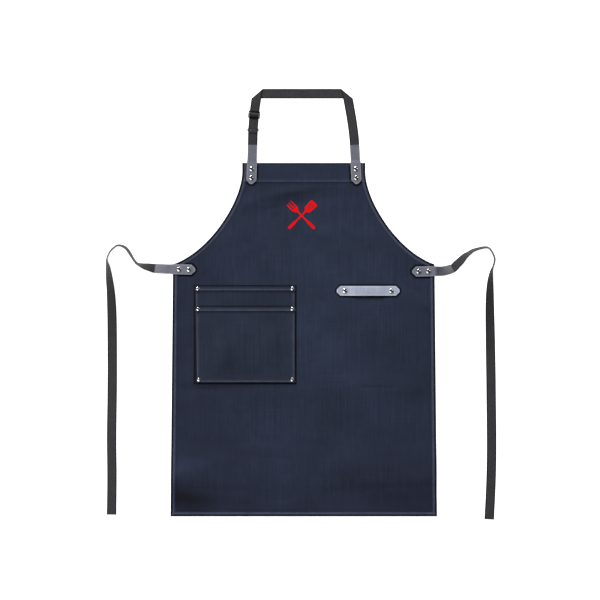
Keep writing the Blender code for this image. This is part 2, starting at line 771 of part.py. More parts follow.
def box_mesh(name, size, centre=(0, 0, 0)):
    shape = bmesh.new()
    bmesh.ops.create_cube(shape, size=1, matrix=Matrix.Translation(centre) @ Matrix.Diagonal((*size, 1)))
    mesh = bpy.data.meshes.new(name)
    shape.to_mesh(mesh)
    shape.free()
    return mesh


def build_slider(collection, cutters, material):
    slot_width = WEBBING_WIDTH + 2 * SIDE_CLEARANCE
    slot_height = slider_half() - SLIDER_MIDDLE_BAR / 2
    size = (slot_width + 2 * SLIDER_RAIL, 2 * (slider_half() + SLIDER_BAR), SLIDER_WALL)
    slider = add_object("strap_slider", box_mesh("strap_slider", size), collection, material)
    on_strap(slider, SLIDER_DROP, SLIDER_Z)
    for end, turn in (("upper", 1), ("lower", -1)):
        y = turn * (SLIDER_MIDDLE_BAR + slot_height) / 2
        mesh = box_mesh("slot_" + end, (slot_width, slot_height, SLIDER_WALL * 2), (0, y, 0))
        cut_with(slider, add_cutter("slot_" + end, mesh, cutters, slider))
    edge = slider.modifiers.new("edge", "BEVEL")
    edge.width = SLIDER_ROUND
    edge.segments = 1
    edge.limit_method = "ANGLE"
    return slider


def build_ring(collection, material):
    half_x = WEBBING_WIDTH / 2 + SIDE_CLEARANCE + RING_WIRE
    half_y = RING_PITCH / 2
    corner = half_y / 2
    points = []
    for quarter in range(4):
        sign_x = (1, -1, -1, 1)[quarter]
        sign_y = (1, 1, -1, -1)[quarter]
        for step in range(3):
            angle = pi / 2 * quarter + pi / 4 * step
            centre_x = sign_x * (half_x - corner)
            centre_y = sign_y * (half_y - corner)
            points.append((centre_x + corner * cos(angle), centre_y + corner * sin(angle), 0, 1))
    curve = bpy.data.curves.new("strap_ring", "CURVE")
    curve.dimensions = "3D"
    curve.bevel_depth = RING_WIRE
    curve.bevel_resolution = 1
    spline = curve.splines.new("POLY")
    spline.points.add(len(points) - 1)
    for point, place in zip(spline.points, points):
        point.co = place
    spline.use_cyclic_u = True
    ring = add_object("strap_ring", curve, collection)
    curve.materials.append(material)
    on_strap(ring, RING_DROP, RING_Z)
    return ring


# Towel loop


def build_towel_loop(collection, material):
    half = LOOP_LENGTH / 2
    flat = LOOP_RIVET_PITCH / 2 - RIVET_CAP - GAP
    offsets = [half, half - TIP_CHAMFER]
    offsets += [flat - LOOP_RAMP * i / 5 for i in range(6)] + [(flat - LOOP_RAMP) / 2]
    offsets = offsets + [0.0] + [-x for x in reversed(offsets)]
    rungs = []
    for offset in sorted(offsets):
        rise = LOOP_RISE * smooth((flat - abs(offset)) / LOOP_RAMP)
        clipped = max(0.0, abs(offset) - (half - TIP_CHAMFER)) / TIP_CHAMFER
        width = LOOP_WIDTH - (LOOP_WIDTH - TIP_FLAT) * clipped
        centre = Vector((LOOP_MIDDLE + offset, TOP - LOOP_DROP, PANEL_TOP + GAP + LOOP_WALL / 2 + rise))
        rungs.append(rung(centre, 0.0, width))
    return strap_object("towel_loop", rungs, LOOP_WALL, collection, material)


# Rivets and the holes they pass through


def rivet_places():
    # Name, x, y, height of the surface under the cap, small or large, and the pieces it pierces
    places = []
    number = 0
    for side in (-1, 1):
        tongue = "neck_tab_left" if side < 0 else "neck_tab_right"
        place = neck_place(side)
        for step in range(2):
            x, y, _, _ = place(NECK_RIVET_TIP + NECK_RIVET_PITCH * step)
            number += 1
            seat = PANEL_TOP + GAP + LEATHER_WALL
            places.append((f"rivet_neck_{number}", x, y, seat, False, ("apron_panel", tongue), True))
    number = 0
    for side in (-1, 1):
        tongue = "waist_tab_left" if side < 0 else "waist_tab_right"
        place = waist_place(side)
        for step in range(2):
            x, y, _, _ = place(WAIST_RIVET_TIP + WAIST_RIVET_PITCH * step)
            number += 1
            seat = PANEL_TOP + GAP + LEATHER_WALL
            places.append((f"rivet_waist_{number}", x, y, seat, False, ("apron_panel", tongue), True))
    for number, side in ((1, -1), (2, 1)):
        x = LOOP_MIDDLE + side * LOOP_RIVET_PITCH / 2
        seat = PANEL_TOP + GAP + LOOP_WALL
        pierced = ("apron_panel", "towel_loop")
        places.append((f"rivet_towel_{number}", x, TOP - LOOP_DROP, seat, False, pierced, False))
    number = 0
    back_seat = PANEL_TOP + GAP + POCKET_HEM_WALL
    front_seat = PANEL_TOP + GAP + POCKET_WALL + GAP
    foot = POCKET_DROP + POCKET_HEIGHT
    for depth, seat, pierced in (
        (POCKET_DROP + POCKET_RIVET_DOWN, back_seat, ("apron_panel", "pocket_back")),
        (
            POCKET_DROP + POCKET_STEP + POCKET_RIVET_DOWN,
            front_seat + POCKET_HEM_WALL,
            ("apron_panel", "pocket_back", "pocket_front"),
        ),
        (foot - POCKET_RIVET_UP, front_seat + POCKET_WALL, ("apron_panel", "pocket_back", "pocket_front")),
    ):
        left, right = pocket_sides(depth)
        for x in (left + POCKET_RIVET_IN, right - POCKET_RIVET_IN):
            number += 1
            places.append((f"rivet_pocket_{number}", x, TOP - depth, seat, True, pierced, False))
    return places


def build_rivet(name, x, y, seat, small, collection, material):
    cap = POCKET_RIVET_CAP if small else RIVET_CAP
    dome = POCKET_RIVET_DOME if small else RIVET_DOME
    under = seat + GAP
    profile = [(0.0, under + dome)]
    for step in range(1, 4):
        angle = pi / 2 * step / 4
        profile.append((cap * sin(angle), under + dome * (RIVET_RIM + (1 - RIVET_RIM) * cos(angle))))
    profile += [(cap, under + dome * RIVET_RIM / 2), (cap * RIVET_FOOT, under), (RIVET_SHANK, under)]
    profile += [(RIVET_SHANK, RIVET_BACK_WALL), (RIVET_BACK, RIVET_BACK_WALL), (RIVET_BACK, 0.0), (0.0, 0.0)]
    mesh = bpy.data.meshes.new(name)
    mesh.from_pydata([(r, 0, z) for r, z in profile], [(i, i + 1) for i in range(len(profile) - 1)], [])
    piece = add_object(name, mesh, collection, material)
    piece.location = (x, y, 0)
    screw = piece.modifiers.new("turn", "SCREW")
    screw.axis = "Z"
    screw.angle = 2 * pi
    screw.steps = RIVET_SIDES
    screw.render_steps = RIVET_SIDES
    screw.use_merge_vertices = True
    screw.merge_threshold = 0.00001
    return piece


def add_cutter(name, mesh, cutters, like=None):
    cutter = add_object(name, mesh, cutters)
    cutter.hide_render = True
    cutter.display_type = "WIRE"
    if like:
        cutter.location = like.location
        cutter.rotation_euler = like.rotation_euler
    return cutter


def cut_with(piece, cutter):
    cut = piece.modifiers.new(cutter.name, "BOOLEAN")
    cut.operation = "DIFFERENCE"
    cut.object = cutter


def drill(piece, name, holes, radius, low, high, cutters):
    shape = bmesh.new()
    for x, y in holes:
        bmesh.ops.create_cone(
            shape,
            cap_ends=True,
            segments=RIVET_SIDES,
            radius1=radius,
            radius2=radius,
            depth=high - low,
            matrix=Matrix.Translation((x, y, (low + high) / 2)),
        )
    mesh = bpy.data.meshes.new(name)
    shape.to_mesh(mesh)
    shape.free()
    cut_with(piece, add_cutter(name, mesh, cutters))


def drill_all(pieces, places, cutters):
    for node, piece in pieces.items():
        holes = [(x, y) for _, x, y, _, _, pierced, _ in places if node in pierced]
        if holes:
            drill(piece, "holes_" + node, holes, RIVET_SHANK + GAP, -HEM_WALL, 10 * HEM_WALL, cutters)
    seats = [(x, y) for _, x, y, _, _, _, turned in places if turned]
    panel = pieces["apron_panel"]
    drill(panel, "seats_for_back_caps", seats, RIVET_BACK + GAP, -HEM_WALL, RIVET_BACK_WALL + GAP, cutters)


def main():
    for old in list(bpy.data.objects):
        bpy.data.objects.remove(old)
    parts = bpy.data.collections.new("bbq_apron")
    cutters = bpy.data.collections.new("cutters")
    bpy.context.scene.collection.children.link(parts)
    bpy.context.scene.collection.children.link(cutters)
    cloth = new_material("canvas", CLOTH_COLOUR, 0.9)
    tongue_leather = new_material("tongue_leather", TONGUE_COLOUR, 0.5)
    loop_leather = new_material("loop_leather", LOOP_COLOUR, 0.5)
    webbing = new_material("webbing", WEBBING_COLOUR, 0.75)
    plastic = new_material("plastic", PLASTIC_COLOUR, 0.4)
    steel = new_material("steel", STEEL_COLOUR, 0.15, 1.0)

    pieces = {"apron_panel": build_panel(parts, cloth)}
    pieces["pocket_back"] = build_pocket("pocket_back", POCKET_DROP, 0, parts, cloth)
    pieces["pocket_front"] = build_pocket("pocket_front", POCKET_DROP + POCKET_STEP, 1, parts, cloth)
    pieces["towel_loop"] = build_towel_loop(parts, loop_leather)
    for side, end, leaves in ((-1, "left", 2), (1, "right", 1)):
        name = "neck_tab_" + end
        pieces[name] = build_tongue(
            name, neck_place(side), NECK_TONGUE_ON, NECK_TONGUE_OFF, leaves, parts, tongue_leather
        )
        name = "waist_tab_" + end
        pieces[name] = build_tongue(
            name, waist_place(side), WAIST_TONGUE_ON, WAIST_TONGUE_OFF, 1, parts, tongue_leather
        )
        build_tie("waist_tie_" + end, side, parts, webbing)
    build_neck_strap(parts, webbing)
    build_ring_strap(parts, webbing)
    build_slider(parts, cutters, plastic)
    build_ring(parts, plastic)
    places = rivet_places()
    for name, x, y, seat, small, _, _ in places:
        build_rivet(name, x, y, seat, small, parts, steel)
    drill_all(pieces, places, cutters)


main()
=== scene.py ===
# Barbecue apron laid flat on a pale floor, seen from straight above.
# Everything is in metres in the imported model's frame: X across, Y from hem to neck, Z up.

import json
from math import atan2, cos, exp, hypot, pi, radians, sin, tan

import bmesh
import bpy
from mathutils import Matrix, Vector, noise

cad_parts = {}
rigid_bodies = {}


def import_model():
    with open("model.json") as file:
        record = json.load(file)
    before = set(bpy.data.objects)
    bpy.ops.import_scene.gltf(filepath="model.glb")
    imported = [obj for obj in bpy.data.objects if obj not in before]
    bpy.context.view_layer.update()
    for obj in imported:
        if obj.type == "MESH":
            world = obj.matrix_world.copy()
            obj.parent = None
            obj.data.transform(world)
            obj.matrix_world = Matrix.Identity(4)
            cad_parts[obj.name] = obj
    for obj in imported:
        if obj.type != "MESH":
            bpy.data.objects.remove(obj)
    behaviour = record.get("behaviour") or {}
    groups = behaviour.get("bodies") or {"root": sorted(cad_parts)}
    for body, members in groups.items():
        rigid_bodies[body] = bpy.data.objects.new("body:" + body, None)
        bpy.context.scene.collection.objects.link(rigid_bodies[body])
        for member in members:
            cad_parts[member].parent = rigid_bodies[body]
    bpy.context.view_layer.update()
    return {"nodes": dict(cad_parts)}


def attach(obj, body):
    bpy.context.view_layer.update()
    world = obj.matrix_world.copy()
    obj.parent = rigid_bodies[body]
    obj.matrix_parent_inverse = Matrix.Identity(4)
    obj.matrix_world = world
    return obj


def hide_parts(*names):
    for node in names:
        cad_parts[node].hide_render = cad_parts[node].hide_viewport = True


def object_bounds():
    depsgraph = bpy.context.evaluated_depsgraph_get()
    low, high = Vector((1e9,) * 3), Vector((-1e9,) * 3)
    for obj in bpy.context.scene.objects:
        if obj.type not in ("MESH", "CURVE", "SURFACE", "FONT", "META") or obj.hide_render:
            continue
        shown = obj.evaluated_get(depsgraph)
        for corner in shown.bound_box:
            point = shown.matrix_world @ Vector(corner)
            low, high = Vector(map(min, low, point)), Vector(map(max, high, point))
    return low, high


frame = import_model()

print("frame loaded:", len(frame["nodes"]), "nodes")


# small helpers

def smoothStep(share):
    share = min(1.0, max(0.0, share))
    return share * share * (3 - 2 * share)


def fade(away, reach):
    # from 1 down to 0 at the reach
    return 1 - smoothStep(away / reach)


def readTable(table, x):
    # straight lines between the rows of a table of (x, value)
    if x <= table[0][0]:
        return table[0][1]
    for (xa, ya), (xb, yb) in zip(table, table[1:]):
        if x <= xb:
            return ya + (yb - ya) * (x - xa) / (xb - xa)
    return table[-1][1]


def spread(low, high, step=None, count=None):
    # even places from low to high, about one step apart
    count = count or max(1, round((high - low) / step))
    return [low + (high - low) * i / count for i in range(count + 1)]


def newPiece(name, data):
    piece = bpy.data.objects.new(name, data)
    bpy.context.scene.collection.objects.link(piece)
    return piece


def smoothMesh(mesh, sharpAngle):
    mesh.shade_smooth()
    mesh.set_sharp_from_angle(angle=radians(sharpAngle))


def meshObject(name, verts, faces, sharpAngle=40):
    mesh = bpy.data.meshes.new(name)
    mesh.from_pydata([tuple(v) for v in verts], [], faces)
    mesh.validate()
    smoothMesh(mesh, sharpAngle)
    return newPiece(name, mesh)


def setPointValue(piece, label, values):
    layer = piece.data.attributes.new(label, "FLOAT", "POINT")
    layer.data.foreach_set("value", values)


def closedSheet(name, grid):
    # a grid of (x, y, top, underside, tone), joined all round the rim; its rows run from the foot up
    rows, columns = len(grid), len(grid[0])
    points = [point for row in grid for point in row]
    verts = [(x, y, top) for x, y, top, _, _ in points] + [(x, y, low) for x, y, _, low, _ in points]
    faces = []
    for r in range(rows - 1):
        for c in range(columns - 1):
            a = r * columns + c
            quad = (a, a + 1, a + 1 + columns, a + columns)
            faces += [quad, tuple(len(points) + i for i in reversed(quad))]
    rim = list(range(columns)) + [r * columns + columns - 1 for r in range(1, rows)]
    rim += [(rows - 1) * columns + c for c in reversed(range(columns - 1))]
    rim += [r * columns for r in reversed(range(1, rows - 1))]
    for a, b in zip(rim, rim[1:] + rim[:1]):
        faces.append((len(points) + a, len(points) + b, b, a))
    piece = meshObject(name, verts, faces)
    setPointValue(piece, "seam", [point[4] for point in points] * 2)
    return piece


def bandSection(width, wall, soft, groove, columns):
    # outline of a strap's cut, anticlockwise: (across, height), always the same number of points
    half, up = width / 2, wall / 2
    soft = min(soft, up * 0.95, half * 0.4)
    grooveIn, grooveHalf = min(0.002, half * 0.5), 0.0005
    top = []
    for step in range(4):
        angle = pi / 2 * step / 3
        top.append((half - soft + soft * cos(angle), up - soft + soft * sin(angle)))
    flat = half - soft
    if groove:
        middle = half - grooveIn
        top += [(middle + grooveHalf, up), (middle, up - groove), (middle - grooveHalf, up)]
        flat = middle - 2 * grooveHalf
    top += [(flat * (1 - 2 * i / columns), up) for i in range(1, columns)] + [(-a, h) for a, h in reversed(top)]
    return top + [(-a, -h) for a, h in top]


def ribbon(name, rungs, wall, edgeAt, soft=0.0004, groove=0.0, columns=10):
    # a strap through rungs, each (one edge, other edge); u runs across it and v along it, in metres
    centres = [(a + b) / 2 for a, b in rungs]
    verts, tones, lengths = [], [], [0.0]
    for a, b in zip(centres, centres[1:]):
        lengths.append(lengths[-1] + (b - a).length)
    for i, (a, b) in enumerate(rungs):
        ahead = centres[min(i + 1, len(rungs) - 1)] - centres[max(i - 1, 0)]
        across = (b - a).normalized()
        normal = ahead.cross(across).normalized()
        section = bandSection((b - a).length, wall, soft, groove, columns)
        verts += [centres[i] + across * s + normal * h for s, h in section]
        # edgeAt gives each point's tone of painted shade and highlight, kept as the edge attribute
        tones += [edgeAt(i, s) for s, h in section]
    count = len(section)
    faces = [tuple(reversed(range(count))), tuple(range(len(verts) - count, len(verts)))]
    for start in range(0, len(verts) - count, count):
        for i in range(count):
            j = (i + 1) % count
            faces.append((start + i, start + j, start + count + j, start + count + i))
    piece = meshObject(name, verts, faces, 50)
    uv = piece.data.uv_layers.new(name="strap")
    section = bandSection(0.023, wall, soft, groove, columns)  # one width for all, so that the weave keeps its scale
    for corner, place in zip(piece.data.loops, uv.data):
        place.uv = (section[corner.vertex_index % count][0], lengths[corner.vertex_index // count])
    setPointValue(piece, "edge", tones)
    return piece


def dress(piece, material, slotName, *nodes):
    piece.data.materials.clear()
    piece.data.materials.append(material)
    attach(piece, "root")
    if nodes:
        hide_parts(*nodes)
    return piece


# Geometry Nodes

def newTree(name, sockets, nodes, links):
    # sockets: (label, kind, value); nodes: (short name, kind, settings); links: "name.Output > name.Input";
    # every tree ends in Realize Instances and Set Material
    tree = bpy.data.node_groups.new(name, "GeometryNodeTree")
    for label, kind, value in [("Geometry", "Geometry", None)] + sockets + [("Material", "Material", None)]:
        socket = tree.interface.new_socket(label, in_out="INPUT", socket_type="NodeSocket" + kind)
        if value is not None:
            socket.default_value = value
    tree.interface.new_socket("Geometry", in_out="OUTPUT", socket_type="NodeSocketGeometry")
    ends = [("start", "NodeGroupInput", {}), ("realize", "GeometryNodeRealizeInstances", {}),
            ("paint", "GeometryNodeSetMaterial", {}), ("end", "NodeGroupOutput", {})]
    made = {}
    for label, kind, settings in ends + nodes:
        made[label] = tree.nodes.new(kind)
        for key, value in settings.items():
            if key in made[label].inputs:
                made[label].inputs[key].default_value = value
            else:
                setattr(made[label], key, value)
    for link in links + ["realize.Geometry > paint.Geometry", "start.Material > paint.Material",
                         "paint.Geometry > end.Geometry"]:
        (a, output), (b, goal) = (side.split(".") for side in link.split(" > "))
        tree.links.new(made[a].outputs[output], made[b].inputs[goal])
    return tree, made


def stitchTree():
    # threads of one length along every line of the mesh that it is put on
    sockets = [("Pitch", "Float", 0.0038), ("Length", "Float", 0.0030), ("Thickness", "Float", 0.0006),
               ("Lift", "Float", 0.0001)]
    nodes = [
        ("curve", "GeometryNodeMeshToCurve", {}), ("spaced", "GeometryNodeResampleCurve", {"mode": "LENGTH"}),
        ("lift", "ShaderNodeCombineXYZ", {}), ("raised", "GeometryNodeSetPosition", {}),
        ("ball", "GeometryNodeMeshUVSphere", {"Segments": 8, "Rings": 6, "Radius": 0.5}),
        ("size", "ShaderNodeCombineXYZ", {}), ("stretch", "GeometryNodeTransform", {}),
        ("tangent", "GeometryNodeInputTangent", {}), ("turn", "FunctionNodeAlignRotationToVector", {"axis": "X"}),
        ("place", "GeometryNodeInstanceOnPoints", {}),
    ]
    return newTree("stitchRow", sockets, nodes, [
        "start.Geometry > curve.Mesh", "curve.Curve > spaced.Curve", "start.Pitch > spaced.Length",
        "start.Lift > lift.Z", "spaced.Curve > raised.Geometry", "lift.Vector > raised.Offset",
        "raised.Geometry > place.Points", "start.Length > size.X", "start.Thickness > size.Y",
        "start.Thickness > size.Z", "ball.Mesh > stretch.Geometry", "size.Vector > stretch.Scale",
        "stretch.Geometry > place.Instance", "tangent.Tangent > turn.Vector", "turn.Rotation > place.Rotation",
        "place.Instances > realize.Geometry",
    ])[0]


def rivetTree():
    # the tree's geometry is one rivet; it is set on each point of the places object, turned by a fixed seed
    nodes = [
        ("places", "GeometryNodeObjectInfo", {}), ("points", "GeometryNodeMeshToPoints", {}),
        ("spin", "FunctionNodeRandomValue", {"data_type": "FLOAT"}), ("turn", "ShaderNodeCombineXYZ", {}),
        ("place", "GeometryNodeInstanceOnPoints", {}),
    ]
    tree, made = newTree("rivetSet", [("Places", "Object", None), ("Seed", "Int", 3)], nodes, [
        "start.Places > places.Object", "places.Geometry > points.Mesh", "points.Points > place.Points",
        "start.Geometry > place.Instance", "start.Seed > spin.Seed", "turn.Vector > place.Rotation",
        "place.Instances > realize.Geometry",
    ])
    spun = next(socket for socket in made["spin"].outputs if socket.enabled)
    tree.links.new(spun, made["turn"].inputs["Z"])
    return tree


def ringTree():
    # a round bar bent into a rectangle with round corners
    sockets = [("Width", "Float", 0.026), ("Height", "Float", 0.006), ("Corner", "Float", 0.002),
               ("Wire", "Float", 0.001)]
    nodes = [
        ("path", "GeometryNodeCurvePrimitiveQuadrilateral", {}),
        ("soft", "GeometryNodeFilletCurve", {"mode": "POLY", "Count": 8}),
        ("bar", "GeometryNodeCurvePrimitiveCircle", {"Resolution": 16}), ("sweep", "GeometryNodeCurveToMesh", {}),
    ]
    return newTree("wireRing", sockets, nodes, [
        "start.Width > path.Width", "start.Height > path.Height", "path.Curve > soft.Curve",
        "start.Corner > soft.Radius", "start.Wire > bar.Radius", "soft.Curve > sweep.Curve",
        "bar.Curve > sweep.Profile Curve", "sweep.Mesh > realize.Geometry",
    ])[0]


def runTree(source, tree, values, name):
    # gives the tree's result as a plain mesh object, and removes the source
    modifier = source.modifiers.new(tree.name, "NODES")
    modifier.node_group = tree
    for item in tree.interface.items_tree:
        if item.in_out == "INPUT" and item.name in values:
            modifier[item.identifier] = values[item.name]
    bpy.context.view_layer.update()
    graph = bpy.context.evaluated_depsgraph_get()
    mesh = bpy.data.meshes.new_from_object(source.evaluated_get(graph), depsgraph=graph)
    mesh.name = name
    bpy.data.objects.remove(source)
    mesh.shade_smooth()
    return newPiece(name, mesh)


# materials

class Shader:
    # a material with a few short ways to add nodes to it

    def __init__(self, name, colour, roughness, metallic=0.0, sheen=0.0, specular=0.5):
        self.material = bpy.data.materials.new(name)
        self.material.use_nodes = True
        self.tree = self.material.node_tree
        self.main = self.tree.nodes["Principled BSDF"]
        self.main.inputs["Base Color"].default_value = (*colour, 1)
        self.main.inputs["Roughness"].default_value = roughness
        self.main.inputs["Metallic"].default_value = metallic
        self.main.inputs["Sheen Weight"].default_value = sheen
        self.main.inputs["Specular IOR Level"].default_value = specular
        self.coords = self.tree.nodes.new("ShaderNodeTexCoord")

    def put(self, socket, value):
        if hasattr(value, "links"):
            self.tree.links.new(value, socket)
        elif value is not None:
            socket.default_value = value

    def node(self, kind, settings=None, **sockets):
        made = self.tree.nodes.new(kind)
        for key, value in (settings or {}).items():
            setattr(made, key, value)
        for key, value in sockets.items():
            self.put(made.inputs[key.replace("_", " ")], value)
        return made

    def place(self, scale, turn=0.0):
        made = self.node("ShaderNodeMapping", Vector=self.coords.outputs["Object"], Scale=scale, Rotation=(0, 0, turn))
        return made.outputs["Vector"]

    def noise(self, scale, detail=3.0, roughness=0.55):
        where = self.place(scale)
        made = self.node("ShaderNodeTexNoise", Vector=where, Scale=1.0, Detail=detail, Roughness=roughness)
        return made.outputs["Fac"]

    def maths(self, kind, a, b=None, c=None):
        made = self.tree.nodes.new("ShaderNodeMath")
        made.operation = kind
        for socket, value in zip(made.inputs, (a, b, c)):
            self.put(socket, value)
        return made.outputs["Value"]

    def times(self, a, b):
        return self.maths("MULTIPLY", a, b)

    def plus(self, a, b):
        return self.maths("ADD", a, b)

    def minus(self, a, b):
        return self.maths("SUBTRACT", a, b)

    def wave(self, kind, value, length):
        return self.maths(kind, self.times(value, 2 * pi / length))

    def remap(self, value, low, high, toLow, toHigh):
        made = self.node("ShaderNodeMapRange", Value=value, From_Min=low, From_Max=high, To_Min=toLow, To_Max=toHigh)
        return made.outputs["Result"]

    def around(self, value, low, high, change):
        return self.remap(value, low, high, 1 - change, 1 + change)

    def attribute(self, label):
        return self.node("ShaderNodeAttribute", {"attribute_name": label}).outputs["Fac"]

    def mix(self, share, a, b, kind="MIX"):
        made = self.tree.nodes.new("ShaderNodeMix")
        made.data_type = "RGBA"
        made.blend_type = kind
        self.put(made.inputs["Factor"], share)
        for label, value in (("A", a), ("B", b)):
            socket = [s for s in made.inputs if s.name == label and s.type == "RGBA"][0]
            self.put(socket, value if hasattr(value, "links") else (*value, 1))
        return [s for s in made.outputs if s.type == "RGBA"][0]

    def grey(self, value):
        return self.node("ShaderNodeCombineColor", Red=value, Green=value, Blue=value).outputs["Color"]

    def bump(self, height, distance, strength=1.0, under=None):
        made = self.node("ShaderNodeBump", Height=height, Distance=distance, Strength=strength)
        if under:
            self.put(made.inputs["Normal"], under)
        return made.outputs["Normal"]

    def contact(self, x, y, pieces, reach):
        # painted contact shadow: 1 beside the edge of what lies on the cloth, falling to 0 at the reach; a piece is
        # (middle x, middle y, half length, half width, turn, chamfer), its length along its own x
        nearest = 1.0
        for middleX, middleY, halfX, halfY, turn, chamfer in pieces:
            c, s = cos(turn), sin(turn)
            dx, dy = self.minus(x, middleX), self.minus(y, middleY)
            along = self.maths("ABSOLUTE", self.maths("MULTIPLY_ADD", dx, c, self.times(dy, s)))
            across = self.maths("ABSOLUTE", self.maths("MULTIPLY_ADD", dy, c, self.times(dx, -s)))
            away = self.maths("MAXIMUM", self.minus(along, halfX), self.minus(across, halfY))
            if chamfer:
                past = self.minus(self.plus(along, across), halfX + halfY - chamfer)
                away = self.maths("MAXIMUM", away, self.times(past, 0.707))
            nearest = self.maths("MINIMUM", away, nearest)
        return self.remap(nearest, reach[0], reach[1], 1.0, 0.0)

    def finish(self, colour=None, roughness=None, normal=None):
        for label, value in (("Base Color", colour), ("Roughness", roughness), ("Normal", normal)):
            if value is not None:
                self.put(self.main.inputs[label], value)
        return self.material


# paintedShade and paintedHighlight are the colours mixed in as painted shade and painted highlight
canvasLook = {
    "colour": (0.0208, 0.0282, 0.0570), "paintedShade": (0.0016, 0.0020, 0.0062), "paintedHighlight": (0.0660, 0.0740, 0.1140),
    "violet": (0.0188, 0.0246, 0.0520), "faded": (0.0230, 0.0334, 0.0650), "fadeAt": (0.035, -0.235),
    "fadeReach": (0.27, 0.40), "twill": 0.00115, "yarn": 0.00062, "twillDepth": 0.00020, "slub": 0.18,
    "patch": 0.19, "grain": 0.20, "weave": 0.12, "contact": (0.0029, 0.0050), "under": (),
}


def canvasMaterial(name, look):
    # twill: slanting ribs crossed by fine yarns, with long upright slubs and worn patches
    m = Shader(name, look["colour"], 0.88, sheen=0.08, specular=0.20)
    m.main.inputs["Sheen Roughness"].default_value = 0.5
    split = m.node("ShaderNodeSeparateXYZ", Vector=m.coords.outputs["Object"])
    x, y = split.outputs["X"], split.outputs["Y"]
    wander = m.noise((60, 60, 60), detail=1.0)
    slant = m.plus(m.plus(x, m.times(y, 0.8)), m.times(wander, 0.0006))
    rib = m.wave("SINE", slant, look["twill"])
    yarn = m.wave("SINE", m.minus(y, m.times(x, 0.15)), look["yarn"])
    weave = m.plus(rib, m.times(yarn, 0.35))
    slub = m.noise((900, 26, 1), detail=2.0)
    streak = m.noise((360, 6, 1), detail=2.0)
    cross = m.noise((9, 420, 1), detail=2.0)
    grain = m.noise((1300, 1300, 1), detail=1.0)
    patch = m.noise((7, 9, 1), detail=4.0, roughness=0.6)
    tone = m.around(patch, 0.3, 0.7, look["patch"])
    for value, low, high, change in (
        (slub, 0.25, 0.75, look["slub"]), (streak, 0.3, 0.7, look["slub"] * 0.8),
        (cross, 0.3, 0.7, look["slub"] * 0.35), (grain, 0.25, 0.75, look["grain"]), (weave, -1.3, 1.3, look["weave"]),
    ):
        tone = m.times(tone, m.around(value, low, high, change))
    # the cloth is lighter in the middle of the body, and deeper and more violet towards the sides
    out, down = (m.maths("DIVIDE", m.minus(place, middle), reach)
                 for place, middle, reach in zip((x, y), look["fadeAt"], look["fadeReach"]))
    away = m.maths("SQRT", m.plus(m.times(out, out), m.times(down, down)))
    away = m.plus(away, m.remap(m.noise((5, 6, 1), detail=3.0), 0.3, 0.7, -0.22, 0.22))
    middleToSides = m.mix(m.remap(away, 0.35, 0.85, 1.0, 0.0), look["colour"], look["faded"])
    middleToSides = m.mix(m.remap(away, 0.85, 1.35, 0.0, 1.0), middleToSides, look["violet"])
    colour = m.mix(1.0, middleToSides, m.grey(tone), "MULTIPLY")
    # painted contact shadow beside what lies on this cloth, from the under boxes
    colour = m.mix(m.contact(x, y, look["under"], look["contact"]), colour, look["paintedShade"])
    # painted shade and painted highlight from the seam attribute: dark lines along the edges and the band, shaded
    # ovals over the folds, and a highlight along the hems that is unevenly strong
    seam = m.attribute("seam")
    unevenHighlight = m.remap(m.noise((70, 70, 70), detail=3.0), 0.35, 0.6, 0.60, 1.0)
    colour = m.mix(m.remap(seam, 0.0, 1.0, 0.0, 0.95), colour, look["paintedShade"])
    colour = m.mix(m.times(m.remap(seam, 0.0, -1.0, 0.0, 0.9), unevenHighlight), colour, look["paintedHighlight"])
    normal = m.bump(weave, look["twillDepth"], 0.7)
    return m.finish(colour, None, m.bump(m.plus(slub, grain), 0.00012, 0.6, normal))


# paintedHighlight is the colour of the painted highlight along a leather rim
leatherLooks = {
    "greyLeather": {"colour": (0.146, 0.151, 0.190), "paintedHighlight": (0.340, 0.350, 0.420), "roughness": 0.52, "brushed": 0.0},
    "paleLeather": {"colour": (0.400, 0.438, 0.550), "paintedHighlight": (0.66, 0.70, 0.80), "roughness": 0.45, "brushed": 0.12},
}


def leatherMaterial(name, colour, paintedHighlight, roughness, brushed):
    m = Shader(name, colour, roughness, specular=0.45)
    grain = m.node("ShaderNodeTexVoronoi", {"feature": "DISTANCE_TO_EDGE"}, Vector=m.place((1, 1, 1)), Scale=620.0)
    grain = grain.outputs["Distance"]
    pores = m.noise((1700, 1700, 1700), detail=2.0)
    cloud = m.noise((45, 45, 45), detail=4.0)
    brush = m.noise((520, 12, 12), detail=3.0)
    tone = m.times(m.around(cloud, 0.3, 0.7, 0.10), m.around(brush, 0.3, 0.7, brushed))
    tone = m.times(tone, m.remap(grain, 0.0, 0.25, 0.86, 1.04))
    body = m.mix(1.0, colour, m.grey(tone), "MULTIPLY")
    edge = m.attribute("edge")
    # painted highlight along the rim and painted shade on the cut edge, both from the edge attribute
    body = m.mix(m.remap(edge, 0.0, 1.0, 0.0, 1.0), body, paintedHighlight)
    body = m.mix(m.remap(edge, 0.0, -1.0, 0.0, 1.0), body, tuple(c * 0.3 for c in colour))
    normal = m.bump(m.remap(grain, 0.0, 0.3, 0.0, 1.0), 0.00010, 0.6)
    uneven = m.remap(cloud, 0.3, 0.7, roughness - 0.06, roughness + 0.08)
    return m.finish(body, uneven, m.bump(pores, 0.00006, 0.5, normal))


webbingLook = {
    "colour": (0.0370, 0.0365, 0.0415), "rib": 0.0021, "row": 0.00105, "depth": 0.00020, "paintedEdgeShade": (0.0080, 0.0096),
}


